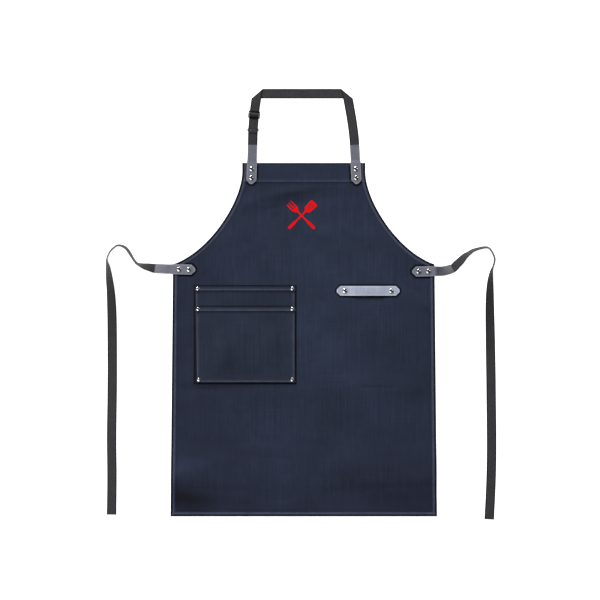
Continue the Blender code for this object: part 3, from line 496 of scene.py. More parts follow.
def webbingMaterial(name, look):
    # herringbone ribs that follow the strap, from its own u across and v along
    m = Shader(name, look["colour"], 0.72, sheen=0.10, specular=0.30)
    split = m.node("ShaderNodeSeparateXYZ", Vector=m.node("ShaderNodeUVMap", {"uv_map": "strap"}).outputs["UV"])
    u, v = split.outputs["X"], split.outputs["Y"]
    rows = m.wave("SINE", m.plus(v, m.maths("PINGPONG", u, look["rib"])), look["row"])
    channel = m.wave("COSINE", u, look["rib"])
    height = m.plus(m.times(rows, 0.6), m.times(channel, 0.5))
    fuzz = m.noise((1500, 1500, 1500), detail=2.0)
    cloud = m.noise((30, 30, 30), detail=3.0)
    tone = m.times(m.remap(height, -1.0, 1.0, 0.72, 1.22), m.around(fuzz, 0.3, 0.7, 0.15))
    tone = m.times(tone, m.around(cloud, 0.3, 0.7, 0.10))
    # painted shade along both edges of the strap
    tone = m.times(tone, m.remap(m.maths("ABSOLUTE", u), *look["paintedEdgeShade"], 1.0, 0.05))
    # painted shade from the edge attribute: the ties' leaning arches, the neck strap's left side and the ring strap's
    # sewn end
    tone = m.times(tone, m.remap(m.attribute("edge"), 0.0, 1.0, 1.0, 0.25))
    colour = m.mix(1.0, look["colour"], m.grey(tone), "MULTIPLY")
    return m.finish(colour, None, m.bump(height, look["depth"], 0.8))


def threadMaterial(name, colour):
    m = Shader(name, colour, 0.6, sheen=0.2)
    ply = m.noise((2600, 2600, 900), detail=1.0)
    body = m.mix(1.0, colour, m.grey(m.remap(ply, 0.3, 0.7, 0.75, 1.2)), "MULTIPLY")
    return m.finish(body, None, m.bump(ply, 0.00008, 0.6))


def steelMaterial():
    m = Shader("polishedSteel", (0.80, 0.80, 0.82), 0.10, metallic=1.0)
    smear = m.noise((300, 300, 300), detail=4.0)
    fine = m.noise((2400, 2400, 2400), detail=2.0)
    return m.finish(None, m.remap(smear, 0.3, 0.75, 0.07, 0.22), m.bump(fine, 0.00002, 0.35))


def plasticMaterial():
    m = Shader("mouldedPlastic", (0.0045, 0.0045, 0.0055), 0.60, specular=0.06)
    speck = m.noise((900, 900, 900), detail=3.0)
    scuff = m.noise((160, 160, 160), detail=3.0)
    return m.finish(None, m.remap(scuff, 0.3, 0.7, 0.52, 0.66), m.bump(speck, 0.00004, 0.5))


def printMaterial(red=(1.0, 0.0012, 0.0016)):
    # screen print: even red that lets the weave show, a little thinner in places
    m = Shader("redPrint", red, 0.75, specular=0.05)
    split = m.node("ShaderNodeSeparateXYZ", Vector=m.place((1, 1, 1), radians(-38)))
    slant = m.wave("SINE", split.outputs["Y"], 0.0009)
    grain = m.noise((1100, 1100, 1), detail=2.0)
    body = m.mix(1.0, red, m.grey(m.remap(grain, 0.25, 0.7, 0.95, 1.0)), "MULTIPLY")
    return m.finish(body, None, m.bump(slant, 0.00008, 0.6))


neckLeather, loopLeather = (leatherMaterial(name, **look) for name, look in leatherLooks.items())
webbing = webbingMaterial("webbing", webbingLook)
seamThread = threadMaterial("seamThread", (0.105, 0.125, 0.210))
blackThread = threadMaterial("blackThread", (0.012, 0.012, 0.014))
steel = steelMaterial()
plastic = plasticMaterial()
redInk = printMaterial()
print("materials made")


# the cloth body; a depth is the distance down from the bib's top edge

body = {
    "height": 0.850, "bib": 0.296, "waist": 0.629, "foot": 0.641, "top": 0.0225,
    "bibSide": 0.020, "armhole": 0.224, "topPull": 0.070, "endPull": 0.090, "endSlope": 0.35,
    "band": 0.045, "hem": 0.010, "cloth": 0.0013, "doubled": 0.0024,
    "stitchIn": 0.0068, "bandStitch": 0.0443, "rowStep": 0.0042, "fieldColumns": 56, "turned": 0.0112,
}
waistDepth = body["bibSide"] + body["armhole"]

# broad folds as in the solid: from (x, depth) to (x, depth), height, reach to either side
broadFolds = (
    (-0.170, 0.104, 0.040, 0.058, 0.0060, 0.030),
    (-0.305, 0.744, 0.305, 0.733, 0.0050, 0.076),
    (0.252, 0.310, 0.293, 0.349, 0.0020, 0.033),
    (-0.270, 0.285, -0.311, 0.340, 0.0020, 0.033),
    (0.088, 0.537, 0.252, 0.541, 0.0020, 0.040),
    (-0.289, 0.565, -0.132, 0.571, 0.0025, 0.040),
    (0.113, 0.145, 0.157, 0.183, 0.0020, 0.033),
)
# sharper creases on them: the same columns
creases = (
    (-0.150, 0.112, -0.060, 0.083, -0.0012, 0.013),
    (-0.060, 0.083, 0.040, 0.066, -0.0009, 0.012),
    (-0.104, 0.131, -0.046, 0.129, -0.0007, 0.008),
    (0.099, 0.119, 0.138, 0.116, -0.0007, 0.008),
    (0.256, 0.313, 0.292, 0.343, -0.0012, 0.010),
    (0.270, 0.300, 0.303, 0.322, -0.0008, 0.009),
    (-0.248, 0.262, -0.229, 0.288, -0.0010, 0.009),
    (0.099, 0.5375, 0.250, 0.5385, -0.0009, 0.007),
    (-0.290, 0.688, -0.050, 0.687, -0.0005, 0.008),
    (-0.262, 0.539, -0.190, 0.547, -0.0013, 0.010),
    (-0.300, 0.790, -0.150, 0.800, -0.0034, 0.034),
    (-0.315, 0.735, -0.215, 0.740, 0.0026, 0.030),
    (0.070, 0.803, 0.305, 0.786, -0.0030, 0.034),
    (-0.130, 0.650, 0.060, 0.662, 0.0012, 0.028),
    (-0.010, 0.175, 0.120, 0.160, 0.0014, 0.024),
    (-0.215, 0.205, -0.120, 0.160, 0.0018, 0.028),
    (-0.060, 0.335, 0.080, 0.331, -0.0004, 0.016),
)


def armholePoint(share):
    top = Vector((body["bib"] / 2, body["bibSide"]))
    end = Vector((body["waist"] / 2, waistDepth))
    pullTop = top + Vector((0, body["topPull"]))
    pullEnd = end - Vector((body["endPull"], body["endPull"] * body["endSlope"]))
    rest = 1 - share
    return top * rest**3 + pullTop * 3 * share * rest**2 + pullEnd * 3 * share**2 * rest + end * share**3


def insetArmhole(inset, samples=60):
    points = [armholePoint(i / samples) for i in range(samples + 1)]
    inner = []
    for a, b in zip(points, points[1:]):
        along = (b - a).normalized()
        inner.append((a + b) / 2 + Vector((-along.y, along.x)) * inset)
    return inner


armholeEdge = [(p.y, p.x) for p in (armholePoint(i / 80) for i in range(81))]
armholeHem = [(p.y, p.x) for p in insetArmhole(body["hem"])]


def sideHalf(depth):
    return (body["waist"] + (body["foot"] - body["waist"]) * (depth - waistDepth) / (body["height"] - waistDepth)) / 2


def halfWidths(depth):
    # outer edge and inner edge of the side hem
    if depth <= body["bibSide"]:
        return body["bib"] / 2, body["bib"] / 2 - body["hem"]
    if depth < waistDepth:
        outer = readTable(armholeEdge, depth)
        hem = readTable(armholeHem, depth) if depth > armholeHem[0][0] else outer - body["hem"]
        return outer, min(hem, outer - body["hem"] * 0.9)
    outer = sideHalf(depth)
    hem = outer - body["hem"]
    if depth < armholeHem[-1][0]:
        hem = min(hem, readTable(armholeHem, depth))
    return outer, hem


pocket = {
    "drop": 0.297, "height": 0.232, "width": 0.242, "middle": -0.141, "taper": 0.003, "step": 0.049,
    "wall": 0.0012, "hemWall": 0.0020, "seam": 0.0125, "belly": 0.0030, "ramp": 0.060,
    "edgeStitch": 0.0038, "mouthStitch": 0.0078, "turned": 0.0112, "rivetIn": 0.0072, "rivetDown": 0.0055,
    "rivetUp": 0.0075, "columns": 64, "rowStep": 0.0033,
}
loop = {
    "drop": 0.3077, "middle": 0.1548, "length": 0.152, "width": 0.0244, "wall": 0.002, "rise": 0.0032,
    "ramp": 0.024, "rivetPitch": 0.1116, "chamfer": 0.0095, "tip": 0.0065, "groove": 0.00015, "bow": 0.0005,
    "rim": (0.0007, 0.0012, 0.85), "rimDark": -0.9,
}
tongue = {
    "width": 0.0245, "wall": 0.002, "lift": 0.008, "chamfer": 0.0095, "tip": 0.0065,
    "neckOn": 0.051, "neckOff": 0.0435, "neckIn": 0.0235, "neckTilt": (2.0, 3.1),
    "neckRivets": (0.0151, 0.0362), "waistOn": 0.054, "waistOff": 0.0435, "waistBelow": (0.0116, 0.0165),
    "waistTilt": (1.5, 1.0), "waistRivets": (0.0157, 0.0392), "groove": 0.00018, "darkened": (-0.05, 1.0),
    "rim": (0.0004, 0.0005, 0.75), "rimDark": -0.8,
}
rivet = {
    "cap": 0.0060, "dome": 0.0024, "smallCap": 0.0046, "smallDome": 0.0019, "back": 0.0045, "backWall": 0.0007,
    "shank": 0.0015, "sides": 32, "lift": 0.0001,
}
gap = 0.0003
laid = body["doubled"] + gap  # the height that things on the cloth lie at
pocketFoot = pocket["drop"] + pocket["height"]


def pocketDrop(layer):
    return pocket["drop"] + pocket["step"] * layer


def flatPlaces():
    # boxes of (low x, high x, top, foot) where something lies on the cloth
    half, high = pocket["width"] / 2, tongue["width"] * 0.6
    places = [(pocket["middle"] - half, pocket["middle"] + half, pocket["drop"], pocketFoot)]
    places.append((loop["middle"] - loop["length"] / 2, loop["middle"] + loop["length"] / 2,
                   loop["drop"] - loop["width"] / 2, loop["drop"] + loop["width"] / 2))
    for side, below in zip((-1, 1), tongue["waistBelow"]):
        neckX = side * (body["bib"] / 2 - tongue["neckIn"])
        places.append((neckX - high, neckX + high, 0.0, tongue["neckOn"]))
        ends = sorted((side * (body["waist"] / 2 - tongue["waistOn"]), side * body["waist"] / 2))
        places.append((*ends, waistDepth + below - high, waistDepth + below + high))
    return places


laidOn = flatPlaces()


def contactPlaces(beside=0.0010):
    # what lies on the body, as Shader.contact wants it, for the painted contact shadow; the painted shadow line starts
    # a little beside a tongue's edge
    low, high, drop, foot = laidOn[0]
    pieces = [((low + high) / 2, body["top"] - (drop + foot) / 2, (high - low) / 2 - beside,
               (foot - drop) / 2 - beside, 0.0, 0.0)]
    pieces.append((loop["middle"], body["top"] - loop["drop"], loop["length"] / 2, loop["width"] / 2, 0.0,
                   loop["chamfer"]))
    halfY = tongue["width"] / 2 + beside
    for side in (-1, 1):
        tilt, half = radians(tongue["neckTilt"][side > 0]), tongue["neckOn"] / 2
        x = side * (body["bib"] / 2 - tongue["neckIn"] + half * tan(tilt))
        pieces.append((x, body["top"] - half, half + beside, halfY, pi / 2 + side * tilt, tongue["chamfer"]))
        tilt, half = radians(tongue["waistTilt"][side > 0]), tongue["waistOn"] / 2
        y = body["top"] - waistDepth - tongue["waistBelow"][side > 0] - half * tan(tilt)
        pieces.append((side * (body["waist"] / 2 - half), y, half + beside, halfY, side * tilt, tongue["chamfer"]))
    return pieces


canvas = canvasMaterial("canvas", dict(canvasLook, under=contactPlaces()))
# frontMouth: a box for the painted shadow along the front pocket's mouth on the back pocket
frontMouth = (pocket["middle"], body["top"] - pocketDrop(1) - 0.100, pocket["width"], 0.100, 0.0, 0.0)
pocketCanvas = canvasMaterial("pocketCanvas", dict(
    canvasLook, colour=(0.0210, 0.0280, 0.0535), violet=(0.0204, 0.0268, 0.0520), faded=(0.0216, 0.0292, 0.0550)))
backPocketCanvas = canvasMaterial("backPocketCanvas", dict(
    canvasLook, colour=(0.0196, 0.0264, 0.0515), violet=(0.0188, 0.0252, 0.0500), faded=(0.0202, 0.0276, 0.0530),
    contact=(0.0014, 0.0034), under=[frontMouth]))


def awayFrom(x, depth, box):
    low, high, top, foot = box
    return hypot(max(low - x, 0, x - high), max(top - depth, 0, depth - foot))


def foldHeight(x, depth, folds):
    height = 0.0
    for xa, da, xb, db, tall, reach in folds:
        dx, dd = xb - xa, db - da
        along = min(1.0, max(0.0, ((x - xa) * dx + (depth - da) * dd) / (dx * dx + dd * dd)))
        away = hypot(x - xa - dx * along, depth - da - dd * along)
        if away < reach:
            taper = 1.0 if reach > 0.03 else smoothStep(min(along, 1 - along) / 0.25)
            height += tall * fade(away, reach) * taper
    return height


# how the top of a hem lies, by distance from its edge
hemRoll = (
    (0.0, -0.0009), (0.00015, -0.00052), (0.0006, -0.00016), (0.0014, 0.0), (0.0058, 0.00005),
    (0.0064, -0.00012), (0.0068, -0.00036), (0.0072, -0.00012), (0.0080, 0.00006), (0.0092, 0.0),
    (0.0100, -0.00020), (0.0112, -0.00042), (0.0130, -0.0004),
)
hemReach = hemRoll[-1][0]
# unevenness of the cloth: waves to the metre across and down, seed, height, and how much of it a sewn edge holds
ripples = ((9, 13, 0.4, 0.0008, 0.0), (30, 34, 2.7, 0.00032, 0.0), (95, 80, 5.1, 0.00010, 0.0))
pocketRipples = ((16, 20, 7.0, 0.0009, 0.7), (52, 58, 3.0, 0.00024, 0.0))


def chance(x, y, seed):
    return noise.noise(Vector((x, y, seed)))


def uneven(table, x, depth, layer=0, free=1.0):
    # free is 0 where the cloth is sewn down and 1 where it is loose
    return sum(chance(x * across, depth * down, seed + layer) * tall * (1 - held * (1 - free))
               for across, down, seed, tall, held in table)


# puckers beside a row of stitches: height, pitch, how uneven they are and how far they reach
puckers = {
    "hem": (0.00014, 0.0088, 3, 0.011), "band": (0.00013, 0.0095, 2, 0.012),
    "pocketEdge": (0.00014, 0.0081, 3, 0.010), "pocketMouth": (0.00013, 0.0086, 2, 0.012),
}


def pucker(kind, along, loose, away):
    tall, pitch, spreadOut, reach = puckers[kind]
    return tall * sin(along * 2 * pi / pitch + spreadOut * loose) * fade(abs(away), reach)


drape = {
    "bandFade": 0.030, "foldClear": 0.006, "foldReach": 0.050, "creaseClear": 0.002, "creaseReach": 0.012,
    "edgeReach": 0.020, "touch": 0.0001, "soft": 0.0008, "groove": 0.00034, "grooveHalf": 0.0008,
}


def clothTop(x, depth, fromSide, fromEnd):
    # fromSide and fromEnd are the distances to the side's edge and to the nearest cut end
    broad = smoothStep((depth - body["band"]) / drape["bandFade"])
    broad *= smoothStep((body["height"] - body["hem"] - depth) / drape["bandFade"])
    close = 1.0
    for box in laidOn:
        away = awayFrom(x, depth, box)
        broad *= smoothStep((away - drape["foldClear"]) / drape["foldReach"])
        close *= smoothStep((away - drape["creaseClear"]) / drape["creaseReach"])
    height = body["doubled"] + foldHeight(x, depth, broadFolds) * broad + foldHeight(x, depth, creases) * close
    height += uneven(ripples, x, depth) * close * smoothStep(min(fromSide, fromEnd) / drape["edgeReach"])
    # dips flatten out where the cloth touches the floor
    touching, soft = body["cloth"] + drape["touch"], drape["soft"]
    if height < touching + soft:
        height = touching + soft * exp((height - touching - soft) / soft)
    for away, along in ((fromSide, depth), (fromEnd, x)):
        pull = pucker("hem", along, chance(along * 22, away * 30, 1.0), away - body["stitchIn"])
        height += pull * close * smoothStep(away / 0.003)
    bandAway = abs(depth - body["bandStitch"])
    if bandAway < 0.012:
        height += pucker("band", x, chance(x * 18, 0, 3.0), bandAway) * close
        height -= drape["groove"] * fade(bandAway, drape["grooveHalf"])  # the groove that the stitches lie in
    side, lip = readTable(hemRoll, fromSide), hemRoll[:4]
    if depth < body["band"]:
        return height + min(side if fromSide < 0.009 else 0.0, readTable(lip, depth))
    if fromEnd >= hemReach:
        return height + side
    if fromSide >= hemReach:
        return height + readTable(hemRoll, fromEnd)
    if fromEnd < fromSide:
        return height + min(side, readTable(lip, fromEnd))
    return height + min(readTable(hemRoll, fromEnd), readTable(lip, fromSide))


# soft ovals of painted shade over the folds, under the pocket's foot and along the sides (painted highlight below 0):
# middle x, depth, two reaches, turn and how much
paintedShadeOvals = (
    (-0.295, 0.806, 0.120, 0.052, 0.20, 0.82),
    (-0.190, 0.812, 0.170, 0.038, 0.08, 0.28),
    (0.245, 0.806, 0.200, 0.058, -0.05, 0.44),
    (-0.130, 0.696, 0.190, 0.018, 0.0, 0.15),
    (-0.292, 0.742, 0.060, 0.026, 0.1, -0.15),
    (-0.190, 0.140, 0.070, 0.050, -0.9, -0.09),
    (-0.046, 0.079, 0.125, 0.014, -0.16, 0.30),
    (0.000, 0.066, 0.230, 0.036, 0.0, 0.34),
    (-0.108, 0.064, 0.050, 0.014, -0.2, -0.16),
    (-0.141, 0.5330, 0.160, 0.011, 0.0, 0.42),
    (-0.141, 0.560, 0.190, 0.030, 0.0, 0.14),
    (-0.235, 0.538, 0.110, 0.016, 0.05, 0.30),
    (0.172, 0.5372, 0.090, 0.0042, 0.0, 0.42),
    (0.285, 0.345, 0.060, 0.010, 0.7, 0.18),
    (0.270, 0.305, 0.060, 0.008, 0.6, 0.16),
    (-0.245, 0.272, 0.060, 0.010, -0.9, 0.16),
    (-0.050, 0.335, 0.110, 0.012, 0.0, 0.10),
    (-0.300, 0.500, 0.040, 0.260, 0.0, 0.10),
)


# tone by distance from the hem's edge and from the band's stitches: above 0 is painted shade, below 0 painted
# highlight
seamTone = (
    (0.0, 1.0), (0.0039, 1.0), (0.0048, 0.0), (0.0055, -0.90), (0.0094, -1.0), (0.0105, -0.10), (0.0114, 0.20),
    (0.0138, 0.16), (0.0170, 0.05), (0.022, 0.0),
)
bandTone = ((-0.006, 0.0), (-0.0018, -0.55), (0.0008, -0.45), (0.0020, 0.55), (0.0036, 0.40), (0.008, 0.0))


def seamShade(x, depth, fromSide, fromEnd):
    value = readTable(seamTone, min(fromSide, fromEnd))
    for middleX, middle, reachX, reachDepth, turn, deep in paintedShadeOvals:
        c, s, dx, dd = cos(turn), sin(turn), x - middleX, depth - middle
        value += deep * fade(hypot((dx * c + dd * s) / reachX, (dd * c - dx * s) / reachDepth), 1.0)
    # painted shade along the bib's top edge
    if depth < 0.0040:
        value = max(value, fade(depth - 0.0020, 0.0020))
    band = depth - body["bandStitch"]
    return value + readTable(bandTone, band) if abs(band) < 0.008 else value


def buildBody():
    # rows and columns stand close together at the edges and the stitches, where the hems roll
    lip = [0.0, 0.00015, 0.0006, 0.0014]
    edgeSteps = lip + [0.0028, 0.0036, 0.0046, 0.0057, 0.0063, 0.0068, 0.0073, 0.0080, 0.0092]
    depths = lip + [0.0022, 0.0032, 0.0042, 0.0078, 0.0120, 0.0162, 0.0204, 0.0246, 0.0288, 0.0330, 0.0372, 0.0402]
    depths += [body["bandStitch"] + d for d in (-0.0020, -0.0012, -0.0006, 0.0, 0.0006, 0.0013, 0.0022, 0.0034)]
    depths += spread(0.0502, body["height"] - hemReach, body["rowStep"])
    depths += [body["height"] - e for e in [body["turned"], 0.0100] + edgeSteps]
    grid = []
    for depth in sorted(set(depths), reverse=True):
        outer, hem = halfWidths(depth)
        fromEnd = body["height"] - depth
        right = [(x, max(outer - x, body["turned"])) for x in spread(0.0, hem - 0.0012, count=body["fieldColumns"])]
        right += [(outer - (outer - hem) * e / body["hem"], e) for e in sorted([0.0100] + edgeSteps, reverse=True)]
        row = []
        for x, fromSide in [(-x, e) for x, e in reversed(right[1:])] + right:
            z = clothTop(x, depth, fromSide, fromEnd)
            turned = max(smoothStep(past / 0.0012) for past in (
                body["turned"] - fromSide, body["turned"] - fromEnd, body["band"] + 0.0016 - depth))
            wall = body["cloth"] + (body["doubled"] - body["cloth"]) * turned
            rim = readTable(hemRoll[:4], min(fromSide, fromEnd, depth))
            low = max(0.00002, z - rim - wall) - rim * 0.9
            row.append((x, body["top"] - depth, z, min(low, z - 0.0004), seamShade(x, depth, fromSide, fromEnd)))
        grid.append(row)
    return closedSheet("clothBody", grid)


clothBody = dress(buildBody(), canvas, "canvas", "apron_panel")
print("cloth body:", len(clothBody.data.polygons), "faces")


# patch pockets

pocketRoll = (
    (0.0, -0.0007), (0.00015, -0.0004), (0.0006, -0.00012), (0.0014, 0.0), (0.0026, 0.00004),
    (0.0034, -0.00008), (0.0038, -0.00028), (0.0042, -0.00008), (0.0052, 0.00004), (0.0090, 0.0),
)
mouthRoll = (
    (0.0, -0.0008), (0.00015, -0.00045), (0.0006, -0.00014), (0.0014, 0.0), (0.0068, 0.00005),
    (0.0074, -0.00010), (0.0078, -0.00032), (0.0082, -0.00010), (0.0090, 0.00004), (0.0100, 0.0),
)
# (x, depth) to (x, depth), height, reach, and which layers they show on
pocketCreases = (
    (-0.250, 0.498, -0.214, 0.513, -0.0010, 0.010, (1,)),
    (-0.050, 0.413, -0.030, 0.417, -0.0008, 0.007, (1,)),
    (-0.050, 0.448, -0.028, 0.453, -0.0008, 0.007, (1,)),
    (-0.240, 0.360, -0.214, 0.392, -0.0006, 0.012, (1,)),
    (-0.058, 0.312, -0.034, 0.320, -0.0007, 0.008, (0,)),
    (-0.205, 0.420, -0.110, 0.505, 0.0006, 0.022, (1,)),
)


def pocketSides(depth):
    share = (depth - pocket["drop"]) / pocket["height"]
    left = pocket["middle"] - pocket["width"] / 2 + pocket["taper"] * share
    return left, pocket["middle"] + pocket["width"] / 2


def pocketBelly(x, depth):
    left, right = pocketSides(depth)
    share = smoothStep((x - left - pocket["seam"]) / pocket["ramp"])
    share *= smoothStep((right - pocket["seam"] - x) / pocket["ramp"])
    return pocket["belly"] * share * smoothStep((pocketFoot - pocket["seam"] - depth) / pocket["ramp"])


def pocketLevels(x, depth, layer):
    # height of the pocket cloth's underside, and its thickness, doubled along the mouth
    under = laid + pocketBelly(x, depth) * (layer + 1) + (pocket["wall"] + gap) * layer
    fromMouth = depth - pocketDrop(layer)
    turned = smoothStep((pocket["turned"] - fromMouth) / 0.0008)
    return under, pocket["wall"] + (pocket["hemWall"] - pocket["wall"]) * turned


def pocketMove(x, depth, layer, free, nearest):
    # unevenness and creases, none along the sewn edges
    move = uneven(pocketRipples, x, depth, layer, free)
    for *crease, layers in pocketCreases:
        if layer in layers:
            move += foldHeight(x, depth, (crease,))
    return max(move * smoothStep(nearest / 0.016), -0.0009 * free - 0.00015)


# tone by distance from a pocket's side, foot and mouth: above 0 is painted shade, below 0 painted highlight
pocketSideTone = (
    (0.0, 1.0), (0.0014, 0.90), (0.0022, 0.0), (0.0030, -0.60), (0.0056, -0.66), (0.0070, -0.25), (0.0110, 0.0),
)
pocketFootTone = (
    (0.0, 1.0), (0.0015, 0.90), (0.0022, 0.0), (0.0028, -0.80), (0.0048, -0.85), (0.0060, -0.20), (0.0080, 0.0),
)
pocketMouthTone = (
    (0.0, 0.5), (0.0012, 0.10), (0.0048, 0.0), (0.0066, -0.62), (0.0094, -0.90), (0.0102, 0.60), (0.0128, 0.50),
    (0.0165, 0.0),
)


def pocketShade(fromSide, fromFoot, fromMouth):
    tone = readTable(pocketFootTone, fromFoot) if fromFoot < fromSide else readTable(pocketSideTone, fromSide)
    if fromMouth < 0.0200:
        tone = max(tone, 0.0) * 0.4 + readTable(pocketMouthTone, fromMouth)
    return max(-1.0, min(1.0, tone))


def pocketEdge(fromSide, fromFoot, fromMouth):
    # how far the cloth rolls down or up at the nearest edge
    lip = pocketRoll[:4]
    if fromMouth < fromSide and fromMouth < 0.0102:
        return min(readTable(mouthRoll, fromMouth), readTable(lip, fromSide))
    if fromFoot < fromSide and fromFoot < 0.0090:
        return min(readTable(pocketRoll, fromFoot), readTable(lip, fromSide))
    return min(readTable(pocketRoll, fromSide), readTable(mouthRoll[:4], fromMouth) if fromMouth < 0.0014 else 1.0)


def buildPocket(name, layer):
    # layer 0 lies on the body and layer 1 on the first pocket, which is smooth where it is covered
    drop = pocketDrop(layer)
    sideSteps = [d for d, _ in pocketRoll]
    depths = [drop + d for d, _ in mouthRoll] + [drop + 0.0106]
    depths += spread(drop + 0.0136, pocketFoot - 0.0120, pocket["rowStep"]) + [pocketFoot - d for d in sideSteps]
    grid = []
    for depth in sorted(depths, reverse=True):
        left, right = pocketSides(depth)
        places = [(left + d, d) for d in sideSteps]
        middle = spread(left + 0.0120, right - 0.0120, count=pocket["columns"])
        places += [(x, min(x - left, right - x)) for x in middle]
        places += [(right - d, d) for d in reversed(sideSteps)]
        fromMouth, fromFoot = depth - drop, pocketFoot - depth
        covered = layer == 0 and depth > pocketDrop(1) - 0.002
        row = []
        for x, fromSide in places:
            under, wall = pocketLevels(x, depth, layer)
            free = smoothStep(pocketBelly(x, depth) / pocket["belly"] * 2)
            nearest = min(fromSide, fromFoot)
            pull, move = 0.0, 0.0
            if not covered:
                move = pocketMove(x, depth, layer, free, nearest)
                pull = pucker("pocketEdge", x + depth, chance(x * 40, depth * 40, 2.0), nearest - pocket["edgeStitch"])
            pull += pucker("pocketMouth", x, chance(x * 20, 1.0, layer), fromMouth - pocket["mouthStitch"])
            z = under + wall + pocketEdge(fromSide, fromFoot, fromMouth) + pull * smoothStep(nearest / 0.002) + move
            rim = min(readTable(pocketRoll[:4], min(nearest, fromMouth)), 0.0)
            low = min(under + move * free - rim * 0.6, z - 0.0003)
            row.append((x, body["top"] - depth, z, low, pocketShade(fromSide, fromFoot, fromMouth)))
        grid.append(row)
    return closedSheet(name, grid)


backPocket = dress(buildPocket("backPocket", 0), backPocketCanvas, "canvas", "pocket_back")
frontPocket = dress(buildPocket("frontPocket", 1), pocketCanvas, "canvas", "pocket_front")
print("pockets made")


# leather: the towel loop and the four riveted tongues

def rung(centre, heading, width, lean=0.0):
    across = Vector((-sin(heading), cos(heading), 0)) * cos(lean)
    across.z = sin(lean)
    return centre - across * width / 2, centre + across * width / 2


def rimTone(inside, look, paintedShade):
    # painted shade on the cut edge itself, then a painted highlight along the rim, fading inwards; look is (cut,
    # start, highlight strength)
    cut, start, paintedHighlight = look
    return paintedShade if inside < cut else paintedHighlight * fade(inside - start, 0.0022)


def buildLoop():
    half = loop["length"] / 2
    flat = loop["rivetPitch"] / 2 - rivet["cap"] - gap
    clipped = half - loop["chamfer"]
    offsets = [half, half - 0.0004, half - 0.0016, half - 0.0045, half - 0.0078, clipped, clipped - 0.0008]
    offsets += spread(flat, clipped - 0.004, 0.004) + spread(flat - loop["ramp"], flat - 0.0015, 0.0015)
    offsets += spread(0.0, flat - loop["ramp"] - 0.004, 0.004)
    rungs, widths = [], []
    for offset in sorted({-x for x in offsets} | set(offsets)):
        toEnd = half - abs(offset)
        rise = loop["rise"] * smoothStep((flat - abs(offset)) / loop["ramp"])
        width = loop["width"] - (loop["width"] - loop["tip"]) * max(0.0, abs(offset) - clipped) / loop["chamfer"]
        width -= 0.0012 * fade(toEnd, 0.0008)
        height = laid + loop["wall"] / 2 + rise + loop["bow"] * toEnd / half * (rise > 0)
        rungs.append(rung(Vector((loop["middle"] + offset, body["top"] - loop["drop"], height)), 0.0, width))
        widths.append((width, toEnd))

    def edgeAt(i, across):
        width, toEnd = widths[i]
        inside = min(width / 2 - abs(across), toEnd)
        return rimTone(inside, loop["rim"], loop["rimDark"])

    return ribbon("towelLoop", rungs, loop["wall"], edgeAt, 0.0006, loop["groove"], 12)


dress(buildLoop(), loopLeather, "loop_leather", "towel_loop")

tieTables = {
    # out is a share of the spread; height of the rise, or of the drop when below 0; lean is the turn from flat
    -1: {"spread": 0.1032, "rise": 0.0558, "drop": 0.590, "course": (
        (0.00, 0.01, 20), (0.12, 0.06, 36), (0.23, 0.10, 50), (0.33, 0.16, 68), (0.42, 0.24, 79),
        (0.50, 0.44, 80), (0.57, 0.65, 77), (0.64, 0.84, 77), (0.72, 0.95, 77), (0.80, 1.00, 79),
        (0.88, 0.99, 79), (0.96, 0.89, 78), (1.04, 0.73, 79), (1.10, 0.50, 80), (1.11, 0.30, 74),
        (1.08, 0.0, 57), (1.05, -0.048, 39), (1.02, -0.100, 26), (1.00, -0.180, 9), (0.992, -0.300, 0),
        (0.992, -0.480, 0), (1.006, -0.680, 0), (0.999, -0.850, 0), (1.008, -1.000, 0),
    )},
    1: {"spread": 0.0919, "rise": 0.0529, "drop": 0.596, "course": (
        (0.00, 0.115, 30), (0.102, 0.29, 34), (0.20, 0.45, 39), (0.31, 0.66, 54), (0.41, 0.79, 65),
        (0.52, 0.92, 71), (0.65, 1.00, 75), (0.80, 1.06, 77), (0.91, 1.06, 78), (0.99, 0.95, 78),
        (1.055, 0.76, 78), (1.092, 0.56, 78), (1.080, 0.37, 79), (1.045, 0.17, 78), (1.012, 0.0, 70),
        (0.985, -0.030, 54), (0.972, -0.070, 38), (0.968, -0.135, 23), (0.978, -0.235, 12),
        (0.995, -0.370, 2), (1.010, -0.560, 0), (1.018, -0.720, 0), (1.000, -0.860, 0), (0.955, -1.000, 0),
    )},
}
strap = {
    "width": 0.023, "wall": 0.0013, "hem": 0.013, "wave": 0.0004, "waves": 61, "waveFrom": 0.25,
    "darkArch": ((0.0, 0.40), (0.05, 0.60), (0.10, 0.68), (0.24, 0.66), (0.31, 0.35), (0.38, 0.0)),  # painted shade on the arch where the tie leans, by distance
}
leaf = strap["wall"] + gap
flatZ = strap["wall"] / 2
overZ = flatZ + leaf


def smoothPath(rows, steps=8):
    path = []
    ends = [rows[0]] + list(rows) + [rows[-1]]
    for before, a, b, after in zip(ends, ends[1:], ends[2:], ends[3:]):
        for i in range(steps):
            t = i / steps
            row = []
            for p, q, r, s in zip(before, a, b, after):
                bend, twist = (2 * p - 5 * q + 4 * r - s) * t**2, (3 * q - p - 3 * r + s) * t**3
                row.append((2 * q + (r - p) * t + bend + twist) / 2)
            path.append(tuple(row))
    return path + [tuple(rows[-1])]


def headingAt(path, i):
    a, b = path[max(0, i - 1)], path[min(len(path) - 1, i + 1)]
    return atan2(b[1] - a[1], b[0] - a[0])


